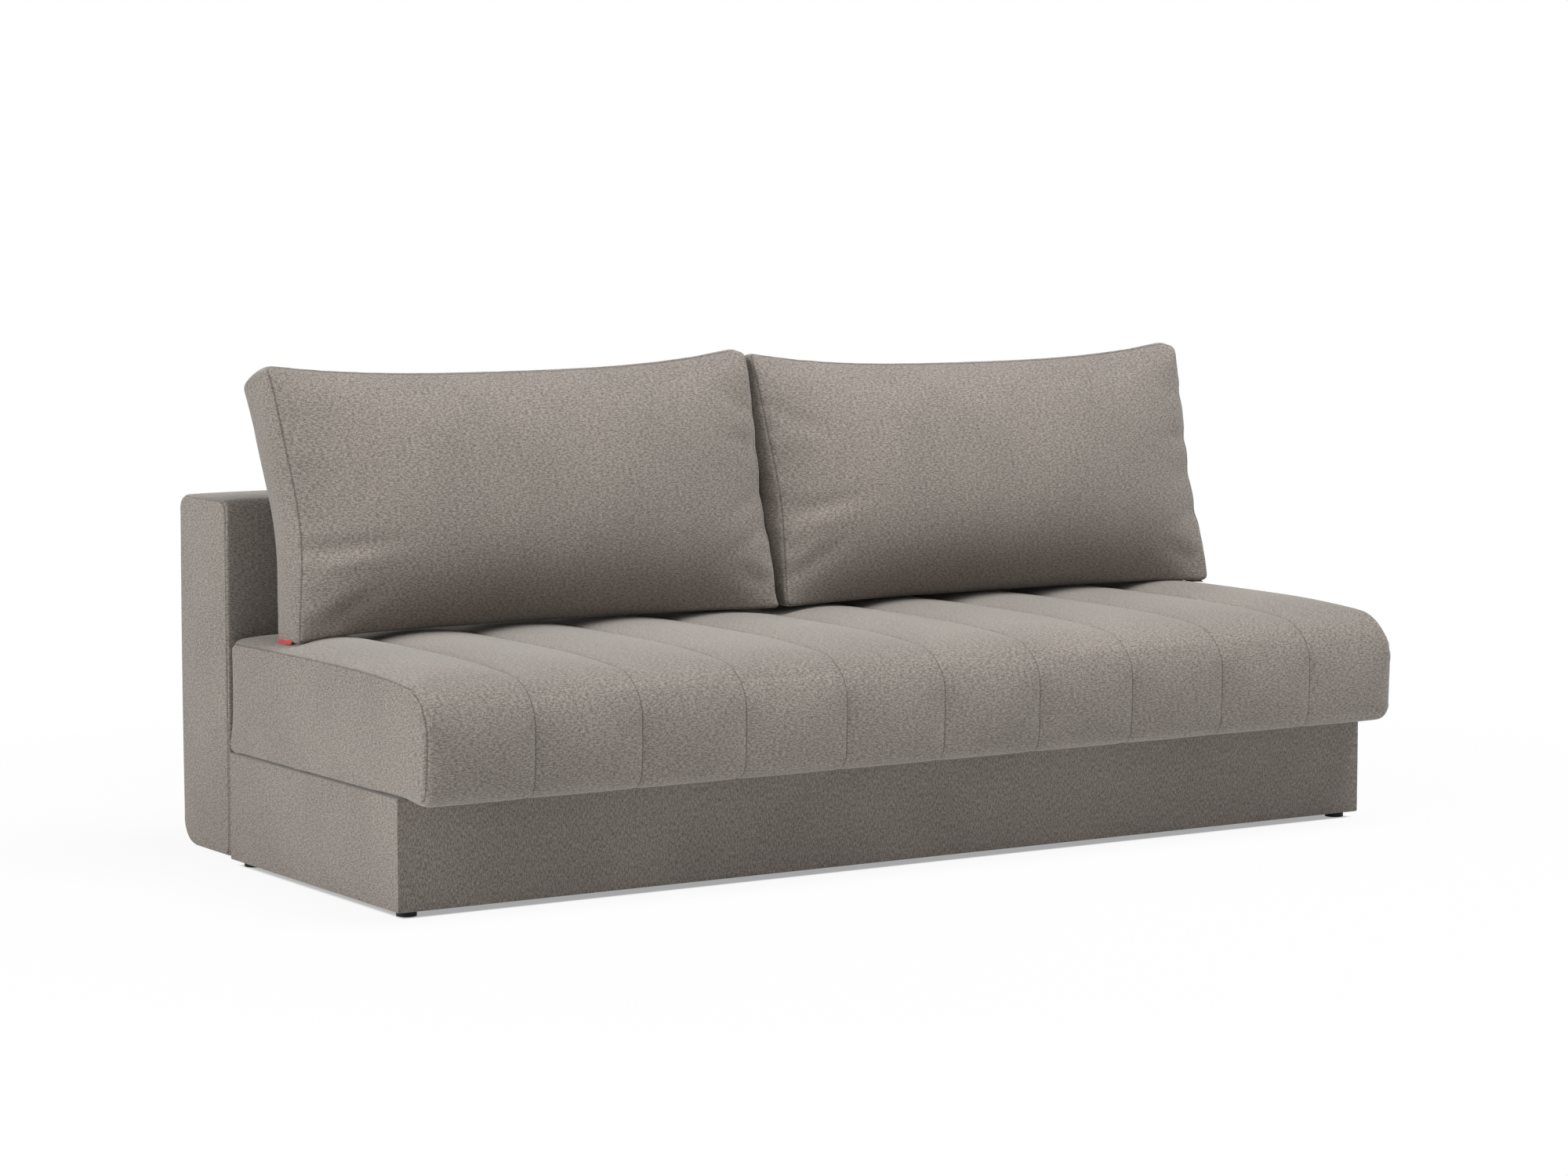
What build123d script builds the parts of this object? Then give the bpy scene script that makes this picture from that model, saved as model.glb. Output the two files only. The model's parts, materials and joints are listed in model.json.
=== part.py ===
"""Armless pull-out sofa bed: channelled seat, folding back, two loose cushions."""
import os

from build123d import *

os.makedirs("parts", exist_ok=True)

# Overall sizes in millimetres: +Z is up, the front is at -Y, and left is -X as seen from the front
seat_width = 2000.0
base_overhang = 1.0
back_overhang = 6.0
foot_height = 10.0
base_height = 187.0
seat_thick = 193.0
seat_depth = 727.0
seat_overhang = 96.0
back_height = 616.0
back_thick = 188.0
back_bottom = 16.0

# Running gaps between the moving units
seat_gap = 5.0
base_rear_gap = 5.0
slide_gap = 3.0
bed_gap = 5.0
fit_gap = 0.5
pin_gap = 0.06

# Seat pad: channels, crowns and edge radii
channel_count = 10
seat_crown = 14.0
seat_front_crown = 8.0
seat_arch = 4.0
seat_seam_droop = 1.0
seat_under_droop = 4.0
seat_front_bow = 5.0
seat_front_radius = 85.0
seat_lip_radius = 26.0
seat_rear_radius = 18.0
pad_side_wall = 35.0
pad_end_wall = 34.0
pad_top_wall = 41.0

# Back pad: crowns, edge radii and walls
back_crown = 6.0
back_top_crown = 2.0
back_rear_bow = 4.0
back_top_front_radius = 17.0
back_top_rear_radius = 28.0
back_heel_radius = 55.0
back_toe_radius = 14.0
back_rim = 30.0
back_rear_wall = 48.0

# Timber, board and cover thicknesses
board_thick = 15.0
cover_thick = 3.0
cover_radius = 3.0
mitre_gap = 1.0
floor_thick = 6.0
rail_width = 45.0
rail_height = 40.0
slat_width = 80.0
slat_thick = 10.0
stile_width = 60.0
front_sheet = 6.0
block_size = 45.0
runner_place = 500.0
runner_width = 40.0
glide_thick = 2.0
cross_rail_step = 470.0

# Feet
foot_radius = 17.0
foot_inset = 30.0
boss_radius = 8.0
boss_relief = 0.5
middle_foot_set_back = 300.0

# Hinges and connecting links
hinge_offset = 8.0
hinge_lift = 9.0
knuckle_radius = 5.0
pin_radius = 2.5
leaf_thick = 2.0
leaf_width = 60.0
leaf_reach = 55.0
web_thick = 3.0
knuckle_gap = 0.4
link_place = 600.0
link_width = 20.0
link_thick = 4.0
lug_thick = 4.0
lug_gap = 0.3
pin_head_radius = 4.0
pin_head_thick = 2.0
bracket_height = 50.0
bracket_plate = 2.0
bracket_width = 40.0
tie_width = 60.0
tie_thick = 2.5
tie_drop = 80.0
tie_reach = 50.0
slot_room = 3.0
buffer_radius = 16.0
buffer_height = 324.0

# Loose cushions, as seen from the side and measured from the back's front face
cushion_set_in = 28.0
cushion_split = 4.0
cushion_front_foot = 222.0
cushion_front_head = 86.0
cushion_rear_foot = 128.0
cushion_rear_head = 4.0
cushion_height = 456.0
cushion_ear = 20.0
cushion_head_slope = 14.0
cushion_seam_bow = 30.0
cushion_front_crown = 36.0
cushion_rear_hollow = 20.0
cushion_rear_crown = 80.0
cushion_shoulder = 130.0
cushion_shoulder_fill = 0.66
cushion_rest_gap = 0.3
tab_length = 52.0
tab_height = 12.0
tab_thick = 1.6
tab_set_back = 27.0
tab_drop = 5.0

# Planes worked out from the sizes above
half_seat = seat_width / 2
half_base = half_seat + base_overhang
half_back = half_seat + back_overhang
channel_width = seat_width / channel_count
base_bottom = foot_height
base_top = base_bottom + base_height
seat_bottom = base_top + slide_gap
seat_seam_top = seat_bottom + seat_thick
back_seam_top = back_bottom + back_height
back_top = back_seam_top + back_top_crown
back_reach = back_thick + back_crown + back_rear_bow
seat_reach = seat_gap + seat_depth + seat_front_crown + seat_front_bow
back_front = (seat_reach - back_reach) / 2
seat_rear = back_front - seat_gap
seat_front = seat_rear - seat_depth
base_rear = back_front - base_rear_gap
base_front = base_rear - seat_depth + seat_overhang
panel_thick = board_thick + cover_thick
board_bottom = base_bottom + cover_thick
board_top = base_top - glide_thick
inner_side = half_base - panel_thick
inner_front = base_front + panel_thick
hinge_y = back_front - hinge_offset
hinge_z = base_top + hinge_lift
link_length = (hinge_offset + back_top - hinge_z - seat_gap + bed_gap) / 2
link_top = hinge_z + link_length
rear_board_front = base_rear - board_thick
block_front = inner_front
block_rear = block_front + block_size
inner_board_front = block_rear + slide_gap
frame_bottom = seat_bottom + slide_gap
frame_top = frame_bottom + rail_height
slat_top = frame_top + slat_thick
cavity_top = seat_seam_top - pad_top_wall
frame_rear = seat_rear - pad_end_wall - fit_gap
frame_front = seat_front + pad_end_wall + fit_gap
frame_side = half_seat - pad_side_wall - fit_gap
back_inner_side = half_back - back_rim - fit_gap
back_inner_low = back_bottom + back_rim + fit_gap
back_inner_high = back_seam_top - back_rim - fit_gap
back_frame_rear = back_front + front_sheet + rail_height
back_core_rear = back_front + back_thick - back_rear_wall - fit_gap
end_stile = back_inner_side - stile_width / 2
hinge_places = (-end_stile, 0.0, end_stile)
link_places = (-link_place, link_place)
sides = ((-1, "left"), (1, "right"))


def slab(x, y, z, mode=Mode.ADD):
    """Box between two values along each axis."""
    with Locations(((x[0] + x[1]) / 2, (y[0] + y[1]) / 2, (z[0] + z[1]) / 2)):
        Box(x[1] - x[0], y[1] - y[0], z[1] - z[0], mode=mode)


def around(middle, width):
    """Low and high value of a width about its middle."""
    return (middle - width / 2, middle + width / 2)


def finish(builder, name):
    """Label a finished piece and write it."""
    builder.part.label = name
    export_step(builder.part, f"parts/{name}.step")


def section_plane(x):
    """Plane across the sofa at x, whose own axes are Y and Z."""
    return Plane(origin=(x, 0, 0), x_dir=(0, 1, 0), z_dir=(1, 0, 0))


def cross_bar(x, width, outline):
    """Outline drawn in Y and Z, drawn out to a width about x."""
    with BuildSketch(section_plane(x - width / 2)) as section:
        outline()
    extrude(section.sketch, amount=width)


def disc(y, z, radius):
    """Round outline about a pivot."""
    with Locations((y, z)):
        Circle(radius)


def patch(y, z):
    """Rectangular outline between two values along each axis."""
    with Locations(((y[0] + y[1]) / 2, (z[0] + z[1]) / 2)):
        Rectangle(y[1] - y[0], z[1] - z[0])


# Base: mitred side boards and their padded covers
def mitred_side(side, low, high, setting_in, setting_out):
    """Plate along the side, from one depth under the face to another, mitred in front."""
    with BuildSketch(Plane.XY.offset(low)) as plan:
        with BuildLine():
            Polyline(
                (side * (half_base - setting_out), base_rear),
                (side * (half_base - setting_out), base_front + setting_out + mitre_gap),
                (side * (half_base - setting_in), base_front + setting_in + mitre_gap),
                (side * (half_base - setting_in), base_rear),
                close=True,
            )
        make_face()
    extrude(plan.sketch, amount=high - low)


for side, name in sides:
    with BuildPart() as side_board:
        mitred_side(side, board_bottom, board_top, panel_thick, cover_thick)
    finish(side_board, f"side_board_{name}")

    with BuildPart() as side_cover:
        mitred_side(side, base_bottom, base_top, cover_thick, 0)
        mitred_side(side, base_bottom, board_bottom, panel_thick, 0)
        mitred_side(side, board_top, base_top, panel_thick, 0)
        outer_edges = side_cover.edges().filter_by(Axis.Y).sort_by(Axis.X)
        fillet(outer_edges[:2] if side < 0 else outer_edges[-2:], cover_radius)
    finish(side_cover, f"side_cover_{name}")

# Base: rear board, bedding box floor and the two boards that carry the runners
with BuildPart() as rear_board:
    slab((-inner_side, inner_side), (rear_board_front, base_rear), (board_bottom, board_top))
finish(rear_board, "rear_board")

with BuildPart() as box_floor:
    slab(
        (-inner_side, inner_side),
        (inner_board_front, rear_board_front),
        (board_bottom, board_bottom + floor_thick),
    )
finish(box_floor, "box_floor")

for side, name in sides:
    place = side * runner_place
    with BuildPart() as inner_board:
        slab(
            around(place, board_thick),
            (inner_board_front, rear_board_front),
            (board_bottom + floor_thick, board_top),
        )
    finish(inner_board, f"inner_board_{name}")

    with BuildPart() as glide_strip:
        slab(around(place, board_thick), (inner_board_front, rear_board_front), (board_top, base_top))
    finish(glide_strip, f"glide_strip_{name}")


# Feet: turned plastic glides with a boss that seats on the underside
def glide_foot(x, y):
    """One round foot standing on the floor."""
    with BuildSketch(Plane.XY) as glide:
        with Locations((x, y)):
            Circle(foot_radius)
    extrude(glide.sketch, amount=foot_height - boss_relief)
    with BuildSketch(Plane.XY.offset(foot_height - boss_relief)) as boss:
        with Locations((x, y)):
            Circle(boss_radius)
    extrude(boss.sketch, amount=board_bottom - foot_height + boss_relief)


with BuildPart() as base_feet:
    for side, name in sides:
        glide_foot(side * (half_base - foot_inset), base_rear - foot_inset)
        glide_foot(side * runner_place, base_rear - middle_foot_set_back)
finish(base_feet, "base_feet")


# Hinges on the base's rear top edge
def base_leaf_plate():
    """Angle leaf over the rear board's front and top."""
    patch((rear_board_front - leaf_thick, rear_board_front), (base_top - leaf_reach, base_top))
    patch((rear_board_front - leaf_thick, hinge_y + web_thick / 2), (board_top, base_top))


def base_knuckle():
    """Knuckle that stands on the leaf."""
    patch(around(hinge_y, web_thick), (board_top, hinge_z))
    disc(hinge_y, hinge_z, knuckle_radius)
    with Locations((hinge_y, hinge_z)):
        Circle(pin_radius + pin_gap, mode=Mode.SUBTRACT)


def back_leaf_plate():
    """Flat leaf on the back's front face."""
    patch((back_front - leaf_thick, back_front), (hinge_z, hinge_z + leaf_reach))


def back_knuckle():
    """Middle knuckle and the web that joins it to its leaf."""
    patch((hinge_y, back_front), (hinge_z, hinge_z + web_thick))
    disc(hinge_y, hinge_z, knuckle_radius)
    with Locations((hinge_y, hinge_z)):
        Circle(pin_radius + pin_gap, mode=Mode.SUBTRACT)


knuckle_width = (leaf_width - 2 * knuckle_gap) / 3
knuckle_step = knuckle_width + knuckle_gap

with BuildPart() as hinge_base_leaves:
    for place in hinge_places:
        cross_bar(place, leaf_width, base_leaf_plate)
        cross_bar(place - knuckle_step, knuckle_width, base_knuckle)
        cross_bar(place + knuckle_step, knuckle_width, base_knuckle)
finish(hinge_base_leaves, "hinge_base_leaves")

with BuildPart() as hinge_back_leaves:
    for place in hinge_places:
        cross_bar(place, leaf_width, back_leaf_plate)
        cross_bar(place, knuckle_width, back_knuckle)
finish(hinge_back_leaves, "hinge_back_leaves")


# Pins: a shank with a head at each end
def headed_pin(x, z, grip):
    """Pin along X through a grip length, headed on both ends."""
    cross_bar(x, grip, lambda: disc(hinge_y, z, pin_radius))
    for end in (-1, 1):
        head = x + end * (grip + pin_head_thick) / 2
        cross_bar(head, pin_head_thick, lambda: disc(hinge_y, z, pin_head_radius))


with BuildPart() as hinge_pins:
    for place in hinge_places:
        headed_pin(place, hinge_z, leaf_width)
finish(hinge_pins, "hinge_pins")

# Connecting links between the back and the seat
lug_inside = link_width / 2 + lug_gap
lug_step = lug_inside + lug_thick / 2
link_grip = 2 * (lug_inside + lug_thick)


def link_outline():
    """Flat bar with a round eye at each end."""
    patch(around(hinge_y, link_thick), (hinge_z, link_top))
    for pivot in (hinge_z, link_top):
        disc(hinge_y, pivot, knuckle_radius)
    for pivot in (hinge_z, link_top):
        with Locations((hinge_y, pivot)):
            Circle(pin_radius + pin_gap, mode=Mode.SUBTRACT)


for side, name in sides:
    with BuildPart() as link:
        cross_bar(side * link_place, link_width, link_outline)
    finish(link, f"link_{name}")


def back_lug():
    """Ear that holds the link's upper pin in front of the back."""
    patch((hinge_y, back_front), around(link_top, 2 * knuckle_radius))
    disc(hinge_y, link_top, knuckle_radius)
    with Locations((hinge_y, link_top)):
        Circle(pin_radius, mode=Mode.SUBTRACT)


def seat_lug():
    """Ear that holds the link's lower pin behind the seat frame."""
    patch((frame_rear, hinge_y), around(hinge_z, 2 * knuckle_radius))
    disc(hinge_y, hinge_z, knuckle_radius)
    with Locations((hinge_y, hinge_z)):
        Circle(pin_radius, mode=Mode.SUBTRACT)


with BuildPart() as link_back_brackets:
    for place in link_places:
        slab(
            around(place, bracket_width),
            (back_front - bracket_plate, back_front),
            around(link_top, bracket_height),
        )
        for end in (-1, 1):
            cross_bar(place + end * lug_step, lug_thick, back_lug)
finish(link_back_brackets, "link_back_brackets")

with BuildPart() as link_seat_brackets:
    for place in link_places:
        slab(
            around(place, bracket_width),
            (frame_rear, frame_rear + bracket_plate),
            (hinge_z - knuckle_radius, frame_top),
        )
        for end in (-1, 1):
            cross_bar(place + end * lug_step, lug_thick, seat_lug)
finish(link_seat_brackets, "link_seat_brackets")

with BuildPart() as link_upper_pins:
    for place in link_places:
        headed_pin(place, link_top, link_grip)
finish(link_upper_pins, "link_upper_pins")

with BuildPart() as link_lower_pins:
    for place in link_places:
        headed_pin(place, hinge_z, link_grip)
finish(link_lower_pins, "link_lower_pins")


# Front panel: mitred board, padded cover, corner blocks, feet and centre tie
def mitred_front(low, high, setting_in, setting_out):
    """Plate along the front, from one depth under the face to another, mitred at both ends."""
    with BuildSketch(Plane.XY.offset(low)) as plan:
        with BuildLine():
            Polyline(
                (-half_base + setting_out, base_front + setting_out),
                (half_base - setting_out, base_front + setting_out),
                (half_base - setting_in, base_front + setting_in),
                (-half_base + setting_in, base_front + setting_in),
                close=True,
            )
        make_face()
    extrude(plan.sketch, amount=high - low)


with BuildPart() as front_board:
    mitred_front(board_bottom, board_top, panel_thick, cover_thick)
finish(front_board, "front_board")

with BuildPart() as front_cover:
    mitred_front(base_bottom, base_top, cover_thick, 0)
    mitred_front(base_bottom, board_bottom, panel_thick, 0)
    mitred_front(board_top, base_top, panel_thick, 0)
    fillet(front_cover.edges().filter_by(Axis.X).sort_by(Axis.Y)[:2], cover_radius)
finish(front_cover, "front_cover")

for side, name in sides:
    outer = side * (inner_side - fit_gap)
    inner = outer - side * block_size
    tenon = side * min(inner_side - fit_gap, frame_side)
    with BuildPart() as corner_block:
        slab(sorted((outer, inner)), (block_front, block_rear), (board_bottom, seat_bottom - fit_gap))
        slab(sorted((tenon, inner)), (block_front, block_rear), (board_bottom, frame_bottom))
    finish(corner_block, f"corner_block_{name}")

with BuildPart() as front_feet:
    for side, name in sides:
        glide_foot(side * (half_base - foot_inset), base_front + foot_inset)
finish(front_feet, "front_feet")

with BuildPart() as centre_tie:
    slab(
        around(0, tie_width),
        (inner_front, inner_front + tie_thick),
        (frame_bottom - tie_drop, frame_bottom),
    )
    slab(
        around(0, tie_width),
        (inner_front, inner_front + tie_reach),
        (frame_bottom - tie_thick, frame_bottom),
    )
finish(centre_tie, "centre_tie")

# Seat frame: rails, cross rails, slats, runners and spring core
with BuildPart() as seat_rail_front:
    slab((-frame_side, frame_side), (frame_front, frame_front + rail_width), (frame_bottom, frame_top))
finish(seat_rail_front, "seat_rail_front")

with BuildPart() as seat_rail_rear:
    slab((-frame_side, frame_side), (frame_rear - rail_width, frame_rear), (frame_bottom, frame_top))
finish(seat_rail_rear, "seat_rail_rear")

end_rail = frame_side - rail_width / 2
with BuildPart() as seat_cross_rails:
    for place in (-end_rail, -cross_rail_step, 0, cross_rail_step, end_rail):
        slab(
            around(place, rail_width),
            (frame_front + rail_width, frame_rear - rail_width),
            (frame_bottom, frame_top),
        )
finish(seat_cross_rails, "seat_cross_rails")

with BuildPart() as seat_slats:
    for channel in range(channel_count):
        middle = -half_seat + (channel + 0.5) * channel_width
        slab(around(middle, slat_width), (frame_front, frame_rear), (frame_top, slat_top))
finish(seat_slats, "seat_slats")

for side, name in sides:
    with BuildPart() as seat_runner:
        slab(
            around(side * runner_place, runner_width),
            (inner_board_front, frame_rear),
            (base_top + fit_gap, frame_bottom),
        )
    finish(seat_runner, f"seat_runner_{name}")

with BuildPart() as seat_core:
    slab((-frame_side, frame_side), (frame_front, frame_rear), (slat_top, cavity_top - fit_gap))
finish(seat_core, "seat_core")


# Seat pad: one pillow per channel, over the top, down the front and under the lip
def quarter(start, corner, end):
    """Quarter circle from start to end, inside the corner where their lines meet."""
    slant = 0.5 ** 0.5
    centre = (start[0] + end[0] - corner[0], start[1] + end[1] - corner[1])
    middle = (
        centre[0] + (corner[0] - centre[0]) * slant,
        centre[1] + (corner[1] - centre[1]) * slant,
    )
    return ThreePointArc(start, middle, end)


def bowed(start, end, bow):
    """Arc from start to end, bowed to the left of that way by a height."""
    chord_y = end[0] - start[0]
    chord_z = end[1] - start[1]
    length = (chord_y ** 2 + chord_z ** 2) ** 0.5
    middle = (
        (start[0] + end[0]) / 2 - chord_z / length * bow,
        (start[1] + end[1]) / 2 + chord_y / length * bow,
    )
    return ThreePointArc(start, middle, end)


def seat_outline(fill):
    """Side outline of the pad, from the seam line (0) to the crown (1) of a channel."""
    top = seat_seam_top + fill * seat_crown
    front = seat_front - fill * seat_front_crown
    lip = seat_bottom - seat_seam_droop - fill * seat_under_droop
    rear_low = (seat_rear, seat_bottom + seat_rear_radius)
    rear_high = (seat_rear, top - seat_rear_radius)
    top_rear = (seat_rear - seat_rear_radius, top)
    top_front = (front + seat_front_radius, top)
    front_high = (front, top - seat_front_radius)
    front_low = (front, lip + seat_lip_radius)
    lip_front = (front + seat_lip_radius, lip)
    bottom_front = (base_front, seat_bottom)
    bottom_rear = (seat_rear - seat_rear_radius, seat_bottom)
    with BuildLine() as outline:
        Line(rear_low, rear_high)
        quarter(rear_high, (seat_rear, top), top_rear)
        bowed(top_front, top_rear, seat_arch)
        quarter(top_front, (front, top), front_high)
        bowed(front_low, front_high, seat_front_bow)
        quarter(front_low, (front, lip), lip_front)
        Line(lip_front, bottom_front)
        Line(bottom_front, bottom_rear)
        quarter(bottom_rear, (seat_rear, seat_bottom), rear_low)
    make_face(outline.edges())


with BuildPart() as seat_channel:
    for offset, fill in ((0, 0), (0.5, 1), (1, 0)):
        with BuildSketch(section_plane(-half_seat + offset * channel_width)):
            seat_outline(fill)
    loft()

link_slot = link_grip + 2 * (pin_head_thick + slot_room)
knuckle_room = knuckle_radius + slot_room
hinge_slot = leaf_width + 2 * (pin_head_thick + slot_room)
pocket_width = max(bracket_width, link_grip + 2 * pin_head_thick) + 2 * slot_room

with BuildPart() as seat_pad:
    with Locations(*[(channel * channel_width, 0, 0) for channel in range(channel_count)]):
        add(seat_channel.part)
    slab(
        (-frame_side - fit_gap, frame_side + fit_gap),
        (frame_front - fit_gap, frame_rear + fit_gap),
        (base_bottom, cavity_top),
        Mode.SUBTRACT,
    )
    for place in hinge_places:
        slab(
            around(place, hinge_slot),
            (hinge_y - knuckle_room, back_front),
            (base_bottom, hinge_z + knuckle_room),
            Mode.SUBTRACT,
        )
    for place in link_places:
        slab(
            around(place, link_slot),
            (hinge_y - knuckle_room, back_front),
            (base_bottom, back_top),
            Mode.SUBTRACT,
        )
        slab(
            around(place, pocket_width),
            (frame_rear, back_front),
            (base_bottom, frame_top + slot_room),
            Mode.SUBTRACT,
        )
finish(seat_pad, "seat_pad")

# Back frame: front sheet, rails, stiles and core
with BuildPart() as back_sheet:
    slab(
        (-back_inner_side, back_inner_side),
        (back_front, back_front + front_sheet),
        (back_inner_low, back_inner_high),
    )
finish(back_sheet, "back_sheet")

back_frame_depth = (back_front + front_sheet, back_frame_rear)
with BuildPart() as back_rail_top:
    slab(
        (-back_inner_side, back_inner_side),
        back_frame_depth,
        (back_inner_high - rail_width, back_inner_high),
    )
finish(back_rail_top, "back_rail_top")

with BuildPart() as back_rail_bottom:
    slab(
        (-back_inner_side, back_inner_side),
        back_frame_depth,
        (back_inner_low, back_inner_low + rail_width),
    )
finish(back_rail_bottom, "back_rail_bottom")

with BuildPart() as back_stiles:
    for place in hinge_places + link_places:
        slab(
            around(place, stile_width),
            back_frame_depth,
            (back_inner_low + rail_width, back_inner_high - rail_width),
        )
finish(back_stiles, "back_stiles")

with BuildPart() as back_core:
    slab(
        (-back_inner_side, back_inner_side),
        (back_frame_rear, back_core_rear),
        (back_inner_low, back_inner_high),
    )
finish(back_core, "back_core")

# Buffers that carry the folded back on the glide strips
buffer_rise = hinge_z + hinge_offset - base_top - fit_gap
with BuildPart() as back_buffers:
    for side, name in sides:
        with BuildSketch(Plane.XZ.offset(-back_front)):
            with Locations((side * runner_place, hinge_z + buffer_height)):
                Circle(buffer_radius)
        extrude(amount=buffer_rise)
finish(back_buffers, "back_buffers")


# Back pad: channels over the rear, which is the sleeping side once folded
def back_outline(fill):
    """Side outline of the back, from the seam line (0) to the crown (1) of a channel."""
    top = back_seam_top + fill * back_top_crown
    rear = back_front + back_thick + fill * back_crown
    front_low = (back_front, back_bottom + back_toe_radius)
    front_high = (back_front, top - back_top_front_radius)
    top_front = (back_front + back_top_front_radius, top)
    top_rear = (rear - back_top_rear_radius, top)
    rear_high = (rear, top - back_top_rear_radius)
    rear_low = (rear, back_bottom + back_heel_radius)
    bottom_rear = (rear - back_heel_radius, back_bottom)
    bottom_front = (back_front + back_toe_radius, back_bottom)
    with BuildLine() as outline:
        Line(front_low, front_high)
        quarter(front_high, (back_front, top), top_front)
        Line(top_front, top_rear)
        quarter(top_rear, (rear, top), rear_high)
        bowed(rear_high, rear_low, back_rear_bow)
        quarter(rear_low, (rear, back_bottom), bottom_rear)
        Line(bottom_rear, bottom_front)
        quarter(bottom_front, (back_front, back_bottom), front_low)
    make_face(outline.edges())


back_channel_width = 2 * half_back / channel_count
with BuildPart() as back_channel:
    for offset, fill in ((0, 0), (0.5, 1), (1, 0)):
        with BuildSketch(section_plane(-half_back + offset * back_channel_width)):
            back_outline(fill)
    loft()

with BuildPart() as back_pad:
    with Locations(*[(channel * back_channel_width, 0, 0) for channel in range(channel_count)]):
        add(back_channel.part)
    slab(
        (-back_inner_side - fit_gap, back_inner_side + fit_gap),
        (back_front - back_thick, back_core_rear + fit_gap),
        (back_inner_low - fit_gap, back_inner_high + fit_gap),
        Mode.SUBTRACT,
    )
finish(back_pad, "back_pad")

# Loose cushions: boxed pillows that lean on the back's top front edge
arch_rear = seat_rear - seat_rear_radius
arch_front = seat_front - seat_front_crown + seat_front_radius
arch_half = (arch_rear - arch_front) / 2
front_foot_off = back_front - cushion_front_foot - (arch_rear + arch_front) / 2
seat_under_cushion = seat_seam_top + seat_crown + seat_arch * (1 - (front_foot_off / arch_half) ** 2)
cushion_bottom = seat_under_cushion + cushion_rest_gap


def cushion_outline(fill):
    """Side outline of a cushion, from its boxed end (0) to its middle (1)."""
    head = cushion_bottom + cushion_height - fill * cushion_ear
    front_foot = (back_front - cushion_front_foot, cushion_bottom)
    front_head = (back_front - cushion_front_head, head)
    rear_head = (back_front + cushion_rear_head, head - cushion_head_slope)
    rear_foot = (back_front - cushion_rear_foot, cushion_bottom)
    with BuildLine() as outline:
        bowed(front_foot, front_head, cushion_seam_bow + fill * cushion_front_crown)
        Line(front_head, rear_head)
        bowed(rear_head, rear_foot, fill * cushion_rear_crown - cushion_rear_hollow)
        Line(rear_foot, front_foot)
    make_face(outline.edges())


cushion_width = half_seat - cushion_set_in - cushion_split / 2
cushion_stations = (
    (0, 0),
    (cushion_shoulder, cushion_shoulder_fill),
    (cushion_width / 2, 1),
    (cushion_width - cushion_shoulder, cushion_shoulder_fill),
    (cushion_width, 0),
)
for side, name in sides:
    with BuildPart() as cushion:
        for station, fill in cushion_stations:
            with BuildSketch(section_plane(side * (cushion_split / 2 + station))):
                cushion_outline(fill)
        loft()
    finish(cushion, f"cushion_{name}")

    face = side * (cushion_split / 2 + cushion_width)
    with BuildPart() as cushion_tab:
        slab(
            sorted((face, face + side * tab_thick)),
            (
                back_front - cushion_front_foot + tab_set_back,
                back_front - cushion_front_foot + tab_set_back + tab_length,
            ),
            (cushion_bottom - tab_drop, cushion_bottom - tab_drop + tab_height),
        )
    finish(cushion_tab, f"cushion_tab_{name}")
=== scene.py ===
import json
import math
from types import SimpleNamespace

import bpy
import numpy as np
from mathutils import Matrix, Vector


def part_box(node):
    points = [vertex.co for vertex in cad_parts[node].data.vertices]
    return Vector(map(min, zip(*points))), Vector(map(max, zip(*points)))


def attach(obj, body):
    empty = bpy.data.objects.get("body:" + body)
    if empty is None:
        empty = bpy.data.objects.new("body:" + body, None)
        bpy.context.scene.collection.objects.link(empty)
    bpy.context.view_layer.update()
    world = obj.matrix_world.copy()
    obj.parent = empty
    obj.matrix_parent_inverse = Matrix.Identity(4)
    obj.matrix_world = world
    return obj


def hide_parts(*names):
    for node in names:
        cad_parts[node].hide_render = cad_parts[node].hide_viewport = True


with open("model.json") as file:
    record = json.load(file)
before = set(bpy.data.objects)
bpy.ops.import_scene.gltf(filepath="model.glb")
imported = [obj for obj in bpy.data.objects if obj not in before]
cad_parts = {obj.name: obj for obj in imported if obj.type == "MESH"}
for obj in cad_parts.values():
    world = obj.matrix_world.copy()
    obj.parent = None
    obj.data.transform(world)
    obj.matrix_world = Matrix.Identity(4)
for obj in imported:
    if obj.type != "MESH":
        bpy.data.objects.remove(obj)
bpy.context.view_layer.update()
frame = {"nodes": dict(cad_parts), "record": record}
print("frame loaded:", len(frame["nodes"]), "nodes")


# small helpers for working by hand on one mesh at a time
def clearSelection():
    bpy.ops.object.select_all(action="DESELECT")


def makeActive(piece):
    clearSelection()
    bpy.context.view_layer.objects.active = piece
    piece.select_set(True)


def enterEdit(piece, kind):
    makeActive(piece)
    bpy.ops.object.mode_set(mode="EDIT")
    bpy.ops.mesh.select_mode(type=kind)


def leaveEdit():
    bpy.ops.object.mode_set(mode="OBJECT")


def startBox(name, low, high):
    clearSelection()
    bpy.ops.mesh.primitive_cube_add(size=1, location=[(a + b) / 2 for a, b in zip(low, high)])
    piece = bpy.context.object
    piece.name = name
    piece.data.name = name
    piece.scale = [b - a for a, b in zip(low, high)]
    bpy.ops.object.transform_apply(location=True, rotation=False, scale=True)
    return piece


def pickEdges(piece, test):  # leaves the piece in edit mode with those edges selected
    enterEdit(piece, "EDGE")
    bpy.ops.mesh.select_all(action="DESELECT")
    leaveEdit()
    for edge in piece.data.edges:
        a, b = (piece.data.vertices[i].co for i in edge.vertices)
        edge.select = test(a, b)
    enterEdit(piece, "EDGE")


def pickFaces(piece, test):
    enterEdit(piece, "FACE")
    bpy.ops.mesh.select_all(action="DESELECT")
    leaveEdit()
    for face in piece.data.polygons:
        face.select = test(face)
    enterEdit(piece, "FACE")


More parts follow.
